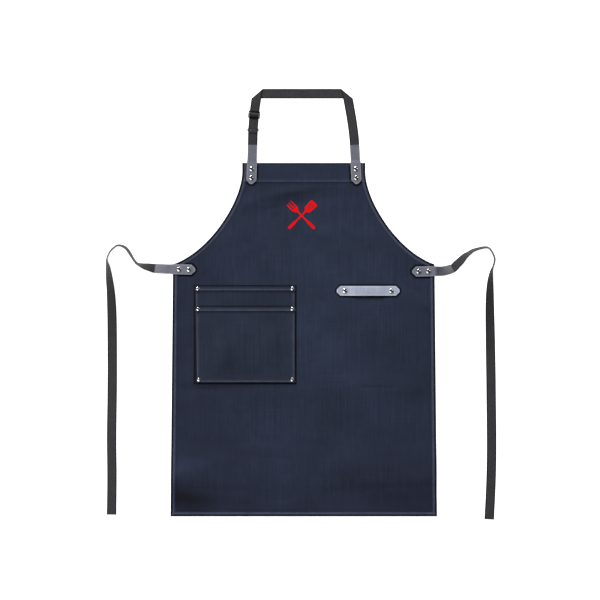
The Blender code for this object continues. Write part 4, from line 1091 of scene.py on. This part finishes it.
def tiePath(side):
    # x, y and lean from the tongue's tip to the tie's end, with the length at each
    drop = waistDepth + tongue["waistBelow"][side > 0]
    tilt = radians(tongue["waistTilt"][side > 0])
    root = Vector((side * sideHalf(drop), body["top"] - drop))
    away = Vector((side * cos(tilt), sin(tilt)))
    table = tieTables[side]
    leave = root + away * tongue["waistOff"]
    rows = [(*(root - away * tongue["waistOn"] * share), 0.0) for share in (1, 0.5, 0)]
    rows.append((*(root + away * tongue["waistOff"] / 2), table["course"][0][2] / 2))
    for out, height, lean in table["course"]:
        height *= table["rise"] if height > 0 else table["drop"]
        rows.append((leave.x + side * out * table["spread"], leave.y + height, lean))
    path = smoothPath(rows)
    lengths = [0.0]
    for a, b in zip(path, path[1:]):
        lengths.append(lengths[-1] + hypot(b[0] - a[0], b[1] - a[1]))
    return path, lengths


def tiePlace(side):
    path, lengths = tiePath(side)

    def place(distance):
        i = max(k for k in range(len(path) - 1) if lengths[k] <= distance or k == 0)
        share = (distance - lengths[i]) / (lengths[i + 1] - lengths[i])
        x, y, lean = (a + (b - a) * share for a, b in zip(path[i], path[i + 1]))
        turn = headingAt(path, i + 1) - headingAt(path, i)
        return x, y, headingAt(path, i) + atan2(sin(turn), cos(turn)) * share, -side * radians(lean)

    return place, lengths


def neckPlace(side):
    tilt = radians(tongue["neckTilt"][side > 0])

    def place(distance):
        reach = distance - tongue["neckOn"]
        x = body["bib"] / 2 - tongue["neckIn"] - reach * tan(tilt)
        return side * x, body["top"] + reach, pi / 2 + side * tilt, 0.0

    return place


def tongueStations(onBody, offBody):
    # (distance from the tip on the cloth, width); the tip is cut to a blunt point
    tip, full, slim, cut = tongue["tip"], tongue["width"], strap["width"], tongue["chamfer"]
    stations = [(0.0, tip - 0.0012), (0.0004, tip - 0.0002)]
    stations += [(d, tip + (full - tip) * d / cut) for d in (0.0016, 0.0045, 0.0078)]
    stations += [(cut, full - 0.0003), (cut + 0.0008, full)]
    stations += [(d, full) for d in spread(cut + 0.004, onBody, 0.004)]
    stations += [(onBody + tongue["lift"] * i / 8, full + (slim - full) * i / 8) for i in range(1, 9)]
    start = onBody + tongue["lift"]
    return stations + [(start + (offBody - tongue["lift"]) * i / 12, slim) for i in range(1, 13)]


def buildTongue(name, place, onBody, offBody, leaves, shaded=0.0):
    # lies on the cloth, then on so many leaves of webbing
    rungs, widths = [], []
    for distance, width in tongueStations(onBody, offBody):
        x, y, heading, lean = place(distance)
        resting = fade(distance - onBody, tongue["lift"])
        over = leaves * leaf
        base = resting * laid + (1 - resting) * over * cos(lean)
        up = width / 2 * abs(sin(lean)) + tongue["wall"] / 2 * cos(lean)
        shift = (1 - resting) * (tongue["wall"] / 2 + over - strap["wall"] / 2) * sin(lean)
        centre = Vector((x + sin(heading) * shift, y - cos(heading) * shift, base + up))
        rungs.append(rung(centre, heading, width, lean))
        widths.append((width, min(distance, (onBody + offBody - distance) * 2), 1 - resting))

    def edgeAt(i, across):
        width, toEnd, off = widths[i]
        inside = min(width / 2 - abs(across), toEnd)
        # painted shade and highlight at the rim, a slight painted highlight where the tongue lies on the cloth, and
        # painted shade by shaded where it leaves the cloth (painted highlight when shaded is below 0)
        return rimTone(inside, tongue["rim"], tongue["rimDark"] + 0.4 * off) + 0.12 * (1 - off) - shaded * off

    return ribbon(name, rungs, tongue["wall"], edgeAt, 0.0006, tongue["groove"])


for side, end, leaves in ((-1, "left", 2), (1, "right", 1)):
    neckTongue = buildTongue("neckTongue_" + end, neckPlace(side), tongue["neckOn"], tongue["neckOff"], leaves)
    dress(neckTongue, neckLeather, "tongue_leather", "neck_tab_" + end)
    # darkened gives each waist tongue's painted shade off the cloth
    waistTongue = buildTongue("waistTongue_" + end, tiePlace(side)[0], tongue["waistOn"], tongue["waistOff"], 1,
                              tongue["darkened"][side > 0])
    dress(waistTongue, neckLeather, "tongue_leather", "waist_tab_" + end)
print("leather pieces made")


# webbing: the waist ties, each with its end turned over and sewn down

def buildTie(name, side):
    place, lengths = tiePlace(side)
    tongueEnd = tongue["waistOn"] + tongue["waistOff"]
    start = tongue["waistOn"] + tongue["lift"]
    distances = [d for d, _ in tongueStations(tongue["waistOn"], tongue["waistOff"]) if d >= start - 0.00001]
    distances += [d for d in lengths if d > tongueEnd + 0.0013]
    rungs, paintedShade = [], []
    for distance in distances:
        # painted shade on the arch where the tie leans
        paintedShade.append(readTable(strap["darkArch"], distance - tongueEnd))
        x, y, heading, lean = place(min(distance, lengths[-1]))
        up = strap["width"] / 2 * abs(sin(lean)) + strap["wall"] / 2 * cos(lean)
        wave = 0.0
        if distance > tongueEnd + strap["waveFrom"]:
            wave = strap["wave"] * (1 + sin(distance * strap["waves"] + side))
            wave *= smoothStep((lengths[-1] - distance) / 0.05)
        rungs.append(rung(Vector((x, y, up + wave)), heading, strap["width"], lean))
    x, y, heading, lean = place(lengths[-1])
    finish, ahead = Vector((x, y, flatZ)), Vector((cos(heading), sin(heading), 0))
    for step in range(1, 9):
        angle = pi * step / 8
        centre = finish + ahead * sin(angle) * leaf / 2 + Vector((0, 0, leaf / 2 * (1 - cos(angle))))
        rungs.append(rung(centre, heading, strap["width"]))
    for share in (0.3, 0.7, 1.0):
        centre = finish - ahead * strap["hem"] * share + Vector((0, 0, leaf))
        rungs.append(rung(centre, heading, strap["width"]))
    paintedShade += [0.0] * (len(rungs) - len(paintedShade))
    seam = finish - ahead * strap["hem"] * 0.7 + Vector((0, 0, leaf + flatZ))
    seamEnds = rung(seam, heading, strap["width"] - 0.003)
    return ribbon(name, rungs, strap["wall"], lambda i, _: paintedShade[i]), seamEnds


tieSeams = []
for side, end in ((-1, "left"), (1, "right")):
    waistTie, seam = buildTie("waistTie_" + end, side)
    dress(waistTie, webbing, "webbing", "waist_tie_" + end)
    tieSeams.append(seam)


# webbing: the neck strap, folded at its corners, woven through the slider and round the ring

neck = {
    "rise": 0.178, "lean": (0.009, 0.016), "curve": (2.0, 1.4), "cornerClear": 0.004, "cornerRamp": 0.010,
    "ringAbove": 0.0358, "sliderShare": 0.52, "sliderWall": 0.002, "bar": 0.0026, "middleBar": 0.002,
    "rail": 0.0022, "slope": 60, "wrap": 375, "side": 0.0004, "wire": 0.001, "ringClear": 0.0001, "darkSide": 0.22,
    "stitchedAt": 0.0843,
}
neckUpper = body["top"] + neck["rise"]  # the top strap's two edges
neckLower = neckUpper - strap["width"]
neckRun = neck["rise"] - strap["width"] - tongue["neckOff"]
tuckedDrop = neck["rise"] - strap["width"] - tongue["lift"]
ringTurn = neck["wire"] + gap + strap["wall"] / 2
ringZ = flatZ + ringTurn
ringPitch = 2 * ringTurn + strap["wall"] + neck["ringClear"]
ringDrop = neckRun - neck["ringAbove"]
sliderDrop = ringDrop * neck["sliderShare"]
barTurn = neck["sliderWall"] / 2 + 2 * gap + strap["wall"] / 2
overTurn = barTurn + leaf
sliderZ = overZ + barTurn


def strapSide(side):
    # middle and heading by how far down the strap a point is
    tilt = radians(tongue["neckTilt"][side > 0])
    footX = body["bib"] / 2 - tongue["neckIn"] - tongue["neckOff"] * tan(tilt)
    lean, curve = neck["lean"][side > 0], neck["curve"][side > 0]

    def place(drop):
        share = 1 - drop / neckRun
        if share <= 0:
            return Vector((side * (footX + (drop - neckRun) * tan(tilt)), neckLower - drop, 0)), side * tilt - pi / 2
        slope = lean * curve * share ** (curve - 1) / neckRun
        return Vector((side * (footX - lean * share**curve), neckLower - drop, 0)), side * atan2(slope, 1) - pi / 2

    return place


def strapCorner(side, steps=12):
    # half of the top strap, and the fold at its end
    centre, heading = strapSide(side)(0)
    rise = pi / 2 - abs(heading + pi / 2)
    crease = rise / 2
    low = Vector((centre.x + side * strap["width"] / 2 / sin(rise), centre.y, 0))
    inward = Vector((-side * cos(crease), sin(crease), 0))
    high = low + inward * strap["width"] / sin(crease)
    outward = Vector((side * sin(crease), cos(crease), 0))
    radius = leaf / 2
    setBack = radius + strap["wall"] / 2
    rungs = []
    for share in (0.0, 0.25, 0.5, 0.75, 1.0):
        x, z = (high.x - side * strap["width"] / 4) * share, flatZ + 0.0004 * sin(pi * share)
        rungs.append((Vector((x, neckUpper, z)), Vector((x, neckLower, z))))
    for step in range(steps + 1):
        angle = pi * step / steps
        slide = inward * setBack / tan(crease) * (1 - 2 * step / steps)
        move = outward * (radius * sin(angle) - setBack) + slide
        move.z = flatZ + radius * (1 - cos(angle))
        rungs.append((high + move, low + move))
    return rungs


def sideRung(side, drop, height):
    centre, heading = strapSide(side)(drop)
    centre.z = height
    a, b = rung(centre, heading, strap["width"])
    return (b, a) if side < 0 else (a, b)


def arc(drop, z, radius, start, end):
    # a turn of the strap round a bar, in degrees from straight above it
    return [(drop + radius * sin(radians(a)), z + radius * cos(radians(a))) for a in spread(start, end, count=14)]


def sliderHalf():
    # from the middle of the slider to its end bar, so that the strap's slope clears the bar
    slope = radians(neck["slope"])
    fall = overTurn * cos(slope) + neck["sliderWall"] / 2
    return overTurn * sin(slope) + fall / tan(slope) + strap["wall"] / 2 / sin(slope) + gap


def sliderWeave():
    lip = sliderHalf()
    half = lip + neck["bar"]
    north = ringDrop - ringPitch / 2
    weave = [(sliderDrop - half - gap, overZ), (sliderDrop - lip - neck["bar"] / 4, overZ)]
    weave.append((sliderDrop - lip + gap, overZ + gap))
    weave += arc(sliderDrop, sliderZ, overTurn, -neck["slope"], neck["slope"])
    weave.append((sliderDrop + lip - gap, overZ + gap))
    weave += [(sliderDrop + lip + neck["bar"] / 4, overZ), (sliderDrop + half + gap, overZ)]
    weave.append((north - 2 * ringTurn, ringZ + ringTurn - gap))
    weave += arc(north, ringZ, ringTurn, 0, 180)
    weave += [(sliderDrop + half, flatZ), (sliderDrop + lip - neck["bar"] / 2, flatZ + gap / 2)]
    weave.append((sliderDrop + barTurn / 2, overZ - gap))
    return weave + arc(sliderDrop, sliderZ, barTurn, 180, neck["wrap"])


def buildNeckStrap():
    clear = neck["cornerClear"]
    right = strapCorner(1) + [sideRung(1, clear, overZ)]
    right += [sideRung(1, drop, flatZ) for drop in spread(clear + neck["cornerRamp"], neckRun, 0.009) + [tuckedDrop]]
    first = sliderDrop - sliderHalf() - neck["bar"] - gap
    left = strapCorner(-1)[1:] + [sideRung(-1, drop, overZ) for drop in spread(clear, first, 0.006)[:-1]]
    left += [sideRung(-1, drop, height) for drop, height in sliderWeave()]
    rungs = right[::-1] + left

    def darkAt(i, _):
        # painted shade on the left side of the strap below the top strap
        middle = (rungs[i][0] + rungs[i][1]) / 2
        return neck["darkSide"] * smoothStep((neckLower - middle.y) / 0.02) if middle.x < 0 else 0.0

    return ribbon("neckStrap", rungs, strap["wall"], darkAt)


def buildRingStrap():
    south, at = ringDrop + ringPitch / 2, neck["stitchedAt"]  # at is the strap's end, sewn down
    course = [(tuckedDrop, flatZ), (neckRun, flatZ), (south + ringTurn, flatZ)]
    course += arc(south, ringZ, ringTurn, 180, 360)
    course.append((south + 2 * ringTurn, ringZ + ringTurn - gap))
    course += [(at - 0.0026, overZ + gap * 1.5), (at - 0.0014, overZ + gap * 1.5)]
    course += [(at + d, overZ) for d in (-0.0010, 0.0010, 0.0030)]
    course += [(neckRun - tongue["lift"] / 4, overZ), (tuckedDrop, overZ)]
    # painted shadow line at the strap's sewn end, and painted shade on the rest of the ring strap
    paintedShade = [1.0 if -0.0012 < drop - at < 0.0012 and z > ringZ else neck["darkSide"] for drop, z in course]
    return ribbon("ringStrap", [sideRung(-1, drop, z) for drop, z in course], strap["wall"], lambda i, _: paintedShade[i])


dress(buildNeckStrap(), webbing, "webbing", "neck_strap")
dress(buildRingStrap(), webbing, "webbing", "ring_strap")
print("webbing made")


# plastic: the slider and the ring

def onStrap(drop, height):
    centre, heading = strapSide(-1)(drop)
    return Matrix.Translation((centre.x, centre.y, height)) @ Matrix.Rotation(heading + pi / 2, 4, "Z")


def roundedBox(halfX, halfY, radius, steps=5):
    points = []
    for quarter, (sx, sy) in enumerate(((1, 1), (-1, 1), (-1, -1), (1, -1))):
        for step in range(steps + 1):
            angle = pi / 2 * (quarter + step / steps)
            points.append((sx * (halfX - radius) + radius * cos(angle), sy * (halfY - radius) + radius * sin(angle)))
    return points


def flatMesh(name, outlines, thick, edge, change=None):
    # a plate with holes from closed outlines, its rims rounded inside the given size; change may work on its bmesh
    curve = bpy.data.curves.new(name, "CURVE")
    curve.dimensions, curve.fill_mode = "2D", "BOTH"
    curve.extrude, curve.bevel_depth, curve.bevel_resolution = thick / 2 - edge, edge, 2
    curve.offset = -edge
    for outline in outlines:
        line = curve.splines.new("POLY")
        line.points.add(len(outline) - 1)
        for point, (x, y) in zip(line.points, outline):
            point.co = (x, y, 0, 1)
        line.use_cyclic_u = True
    source = newPiece(name, curve)
    bpy.context.view_layer.update()
    mesh = bpy.data.meshes.new_from_object(source.evaluated_get(bpy.context.evaluated_depsgraph_get()))
    bpy.data.objects.remove(source)
    shape = bmesh.new()
    shape.from_mesh(mesh)
    bmesh.ops.remove_doubles(shape, verts=shape.verts, dist=0.00001)
    if change:
        change(shape)
    bmesh.ops.recalc_face_normals(shape, faces=shape.faces)
    shape.to_mesh(mesh)
    shape.free()
    mesh.name = name
    return mesh


def buildSlider():
    half = sliderHalf() + neck["bar"]
    slotX = strap["width"] / 2 + neck["side"]
    slotY = (sliderHalf() - neck["middleBar"] / 2) / 2
    outlines = [roundedBox(slotX + neck["rail"], half, 0.0016)]
    for turn in (1, -1):
        middle = turn * (neck["middleBar"] / 2 + slotY)
        outlines.append([(x, y + middle) for x, y in roundedBox(slotX, slotY, 0.0008)])
    mesh = flatMesh("strapSlider", outlines, neck["sliderWall"], 0.0004)
    mesh.transform(onStrap(sliderDrop, sliderZ))
    smoothMesh(mesh, 35)
    return newPiece("strapSlider", mesh)


def plainPiece(name, verts=(), edges=(), faces=()):
    mesh = bpy.data.meshes.new(name)
    mesh.from_pydata([tuple(v) for v in verts], list(edges), list(faces))
    return newPiece(name, mesh)


dress(buildSlider(), plastic, "plastic", "strap_slider")
strapRing = runTree(plainPiece("ringSource"), ringTree(), {
    "Width": strap["width"] + 2 * (neck["side"] + neck["wire"]), "Height": ringPitch,
    "Corner": ringPitch * 0.35, "Wire": neck["wire"], "Material": plastic,
}, "strapRing")
strapRing.data.transform(onStrap(ringDrop, ringZ))
dress(strapRing, plastic, "plastic", "strap_ring")
print("slider and ring made")


# rivets: one turned shape, set on its places by Geometry Nodes

def rivetShape(cap, dome, seat):
    # a mushroom head with a soft rim, a shank and a thin cap behind; the origin is at the resting plane
    shank, back, wall, sides = rivet["shank"], rivet["back"], rivet["backWall"], rivet["sides"]
    profile = []
    for step in range(1, 9):
        angle = pi / 2 * step / 8
        profile.append((cap * sin(angle), seat + dome * (0.22 + 0.78 * cos(angle) ** 0.85)))
    profile += [(cap, seat + dome * 0.12), (cap * 0.985, seat + dome * 0.04), (cap * 0.94, seat), (shank, seat)]
    profile += [(shank, wall), (back * 0.97, wall), (back, wall * 0.6), (back, wall * 0.3), (back * 0.95, 0.0)]
    verts = [(0, 0, seat + dome)]
    for radius, height in profile:
        angles = [2 * pi * i / sides for i in range(sides)]
        verts += [(radius * cos(angle), radius * sin(angle), height) for angle in angles]
    verts.append((0, 0, 0.0))
    faces = []
    for i in range(sides):
        j = (i + 1) % sides
        faces.append((0, 1 + i, 1 + j))
        starts = range(1, 1 + (len(profile) - 1) * sides, sides)
        faces += [(a + i, a + sides + i, a + sides + j, a + j) for a in starts]
        faces.append((starts.stop + i, len(verts) - 1, starts.stop + j))
    return meshObject("rivetShape", verts, faces, 50)


def rivetPlaces():
    # for each set: whether it is of the small kind, the height of the seat and the places (x, y)
    leather, front = laid + tongue["wall"], laid + gap + pocket["wall"]
    sides, loopX, loopY = (-1, 1), loop["rivetPitch"] / 2, body["top"] - loop["drop"]
    sets = {
        "rivets_neck": (False, leather, [neckPlace(side)(d)[:2] for side in sides for d in tongue["neckRivets"]]),
        "rivets_waist": (False, leather, [tiePlace(side)[0](d)[:2] for side in sides for d in tongue["waistRivets"]]),
        "rivets_towel": (False, laid + loop["wall"], [(loop["middle"] + side * loopX, loopY) for side in sides]),
    }
    for name, depth, seat in (
        ("rivets_pocketBack", pocketDrop(0) + pocket["rivetDown"], laid + pocket["hemWall"]),
        ("rivets_pocketMouth", pocketDrop(1) + pocket["rivetDown"], front + pocket["hemWall"]),
        ("rivets_pocketFoot", pocketFoot - pocket["rivetUp"], front + pocket["wall"]),
    ):
        left, right = pocketSides(depth)
        y = body["top"] - depth
        sets[name] = (True, seat, [(left + pocket["rivetIn"], y), (right - pocket["rivetIn"], y)])
    return sets


standsFor = {
    "rivets_neck": ("neck", (1, 2, 3, 4)), "rivets_waist": ("waist", (1, 2, 3, 4)), "rivets_towel": ("towel", (1, 2)),
    "rivets_pocketBack": ("pocket", (1, 2)), "rivets_pocketMouth": ("pocket", (3, 4)),
    "rivets_pocketFoot": ("pocket", (5, 6)),
}
rivetNodes = rivetTree()
for name, (small, seat, points) in rivetPlaces().items():
    cap, dome = (rivet["smallCap"], rivet["smallDome"]) if small else (rivet["cap"], rivet["dome"])
    source = rivetShape(cap, dome, seat + rivet["lift"])
    places = plainPiece("rivetPlaces", [(x, y, 0.0) for x, y in points])
    made = runTree(source, rivetNodes, {"Places": places, "Seed": 5, "Material": steel}, name)
    bpy.data.objects.remove(places)
    made.data.set_sharp_from_angle(angle=radians(50))
    place, numbers = standsFor[name]
    dress(made, steel, "steel", *["rivet_%s_%d" % (place, number) for number in numbers])
print("rivets set")


# stitches: threads along the seam lines

stitch = {"pitch": 0.0039, "length": 0.0031, "tiePitch": 0.0028, "tieLength": 0.0023, "thickness": 0.00072,
          "lift": 0.00010, "step": 0.004, "mouthGroove": 0.00030, "edgeGroove": 0.00026}


def seamLines(name, lines):
    verts, edges = [], []
    for line in lines:
        edges += [(len(verts) + i, len(verts) + i + 1) for i in range(len(line) - 1)]
        verts += line
    return plainPiece(name, verts, edges)


def bodyPoint(x, depth, fromSide, fromEnd):
    return Vector((x, body["top"] - depth, clothTop(x, depth, fromSide, fromEnd)))


def bodySeams():
    # lines of points at the foot of the stitches' grooves
    inset, step = body["stitchIn"], stitch["step"]
    halfBand, halfFoot = readTable(armholeHem, 0.05) - 0.003, body["foot"] / 2 - 0.001
    lines = [[bodyPoint(x, body["bandStitch"], 1.0, 1.0) for x in spread(-halfBand, halfBand, step)],
             [bodyPoint(x, body["height"] - inset, 1.0, inset) for x in spread(-halfFoot, halfFoot, step)]]
    edge = [(body["bib"] / 2 - inset, d) for d in spread(0.0015, body["bibSide"], step)[:-1]]
    edge += [(p.x, p.y) for p in insetArmhole(inset, 90) if p.x < sideHalf(p.y) - 0.0012]
    for side in (-1, 1):
        lines.append([bodyPoint(side * x, d, inset, 1.0) for x, d in edge])
        depths = spread(waistDepth + 0.003, body["height"] - 0.0012, step)
        lines.append([bodyPoint(side * (sideHalf(d) - inset), d, inset, max(0.009, body["height"] - d))
                      for d in depths])
    return lines


def pocketPoint(x, depth, layer, groove):
    return Vector((x, body["top"] - depth, sum(pocketLevels(x, depth, layer)) - groove))


def pocketRow(depth, layer, groove):
    left, right = pocketSides(depth)
    return [pocketPoint(x, depth, layer, groove) for x in spread(left + 0.001, right - 0.001, 0.003)]


def pocketSeams(layer):
    drop = pocketDrop(layer)
    end = pocketFoot if layer else pocketDrop(1)
    depths = spread(drop + 0.0015, end - 0.0012, stitch["step"])
    lines = [pocketRow(drop + pocket["mouthStitch"], layer, stitch["mouthGroove"])]
    for side, shift in ((0, pocket["edgeStitch"]), (1, -pocket["edgeStitch"])):
        lines.append([pocketPoint(pocketSides(d)[side] + shift, d, layer, stitch["edgeGroove"]) for d in depths])
    return lines + ([pocketRow(pocketFoot - pocket["edgeStitch"], 1, stitch["edgeGroove"])] if layer else [])


stitchNodes = stitchTree()
for name, lines, thread, slotName, pitch, length in (
    ("stitches_body", bodySeams(), seamThread, "canvas", stitch["pitch"], stitch["length"]),
    ("stitches_pocketBack", pocketSeams(0), seamThread, "canvas", stitch["pitch"], stitch["length"]),
    ("stitches_pocketFront", pocketSeams(1), seamThread, "canvas", stitch["pitch"], stitch["length"]),
    ("stitches_ties", tieSeams, blackThread, "webbing", stitch["tiePitch"], stitch["tieLength"]),
):
    made = runTree(seamLines(name + "Lines", lines), stitchNodes, {
        "Pitch": pitch, "Length": length, "Thickness": stitch["thickness"], "Lift": stitch["lift"], "Material": thread,
    }, name)
    dress(made, thread, slotName)
    print(name, len(made.data.polygons), "faces")


# the print on the bib: a plain crossed fork and spatula

emblem = {
    "middle": (-0.0052, -0.1042), "bar": 0.0017, "clear": 0.0014, "slot": 0.0046, "lift": 0.00020, "ink": 0.00010,
    "cell": 0.0040,
}
# right-hand outlines of the tools, (across, along), from the bottom up
gripSide = (
    (0.0018, -0.0440), (0.0027, -0.0433), (0.0032, -0.0420), (0.0032, -0.0225), (0.0026, -0.0205), (0.0017, -0.0188),
)
spatulaSide = (
    (0.0017, 0.0120), (0.0030, 0.0150), (0.0068, 0.0175), (0.0084, 0.0196), (0.0098, 0.0400), (0.0094, 0.0425),
    (0.0080, 0.0439), (0.0060, 0.0442),
)
forkSide = (
    (0.0017, 0.0118), (0.0030, 0.0150), (0.0062, 0.0180), (0.0078, 0.0222), (0.0079, 0.0400), (0.0066, 0.0446),
    (0.0053, 0.0400), (0.0052, 0.0252), (0.0046, 0.0234), (0.0033, 0.0228), (0.0021, 0.0234), (0.0015, 0.0252),
    (0.0014, 0.0400), (0.0001, 0.0446),
)
slotSide = ((0.0004, 0.0232), (0.0010, 0.0238), (0.0010, 0.0374), (0.0004, 0.0380))


def mirrored(side):
    return list(side) + [(-u, v) for u, v in reversed(side)]


def emblemOutlines():
    cut, (middleX, middleY) = emblem["bar"] + emblem["clear"], emblem["middle"]
    shapes = [(45, mirrored(gripSide + forkSide)), (-45, mirrored(gripSide + ((0.0017, -cut),))),
              (-45, mirrored(((0.0017, cut),) + spatulaSide))]
    for shift in (-emblem["slot"], 0.0, emblem["slot"]):
        shapes.append((-45, [(u + shift, v) for u, v in mirrored(slotSide)]))
    outlines = []
    for turn, points in shapes:
        c, s = cos(radians(turn)), sin(radians(turn))
        outlines.append([(middleX + u * c - v * s, middleY + u * s + v * c) for u, v in points])
    return outlines


def layOnCloth(shape):
    # cuts the shape along a fine grid so that it can follow the folds, then makes a thin skin of ink of it
    for axis in (0, 1):
        places = [v.co[axis] for v in shape.verts]
        for level in spread(min(places), max(places), emblem["cell"])[1:-1]:
            point, normal = Vector((0, 0, 0)), Vector((0, 0, 0))
            point[axis], normal[axis] = level, 1
            geometry = shape.verts[:] + shape.edges[:] + shape.faces[:]
            bmesh.ops.bisect_plane(shape, geom=geometry, plane_co=point, plane_no=normal)
    bmesh.ops.triangulate(shape, faces=shape.faces)
    for vertex in shape.verts:
        vertex.co.z = clothTop(vertex.co.x, body["top"] - vertex.co.y, 0.1, 0.1) + emblem["lift"]
    raised = bmesh.ops.extrude_face_region(shape, geom=shape.faces[:])
    for item in raised["geom"]:
        if isinstance(item, bmesh.types.BMVert):
            item.co.z += emblem["ink"]


bibPrint = newPiece("bibPrint", flatMesh("bibPrint", emblemOutlines(), 0.0, 0.0, layOnCloth))
dress(bibPrint, redInk, "canvas")
print("print laid on the bib")


# the floor, the lights and the camera

studio = {
    "frameWidth": 1.443, "lookAt": (-0.0090, -0.3072), "distance": 6.0, "floor": (0.90, 0.90, 0.90),
    "floorGlow": 0.94, "floorReach": 14.0, "world": (0.93, 0.95, 1.0), "worldStrength": 0.05,
    "lights": (  # name, place, aim, width, height, watts
        ("keyPanel", (-2.6, 7.7, 5.5), (0.0, -0.30, 0.0), 4.0, 4.0, 1120.0),
        ("lowPanel", (-1.25, -1.65, 2.5), (0.0, -0.30, 0.0), 2.6, 2.2, 40.0),
        ("rightStrip", (1.5, 0.5, 2.4), (0.0, -0.30, 0.0), 0.35, 1.6, 4.0),
    ),
}
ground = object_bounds()[0].z - 0.0002
reach = studio["floorReach"]
corners = [(-reach, -reach, ground), (reach, -reach, ground), (reach, reach, ground), (-reach, reach, ground)]
floor = plainPiece("floor", corners, faces=[(0, 1, 2, 3)])
floorLook = Shader("paleFloor", studio["floor"], 0.85, specular=0.2)  # a light table, so that no shadow greys it
floorLook.main.inputs["Emission Color"].default_value = (1, 1, 1, 1)
floorLook.main.inputs["Emission Strength"].default_value = studio["floorGlow"]
grain = floorLook.noise((40, 40, 40))
floor.data.materials.append(floorLook.finish(None, None, floorLook.bump(grain, 0.0002, 0.1)))

for name, place, aim, width, height, watts in studio["lights"]:
    lamp = bpy.data.lights.new(name, "AREA")
    lamp.shape, lamp.size, lamp.size_y, lamp.energy = "RECTANGLE", width, height, watts
    panel = newPiece(name, lamp)
    panel.location = place
    panel.rotation_euler = (Vector(aim) - Vector(place)).to_track_quat("-Z", "Y").to_euler()
    panel.visible_camera = False

world = bpy.data.worlds.new("studio")
world.use_nodes = True
world.node_tree.nodes["Background"].inputs["Color"].default_value = (*studio["world"], 1)
world.node_tree.nodes["Background"].inputs["Strength"].default_value = studio["worldStrength"]
bpy.context.scene.world = world
bpy.context.scene.view_settings.view_transform = "Standard"
bpy.context.scene.view_settings.look = "None"

lens = bpy.data.cameras.new("camera")
lens.sensor_width = 36.0
lens.lens = lens.sensor_width * studio["distance"] / studio["frameWidth"]
lens.clip_end = 100.0
camera = newPiece("camera", lens)
camera.location = (*studio["lookAt"], studio["distance"])
bpy.context.scene.camera = camera
print("stage, lights and camera set")


strip = 0.002
strips = range(round(body["height"] / strip))
bodyArea = sum(2 * halfWidths(strip * i + strip / 2)[0] * strip for i in strips)
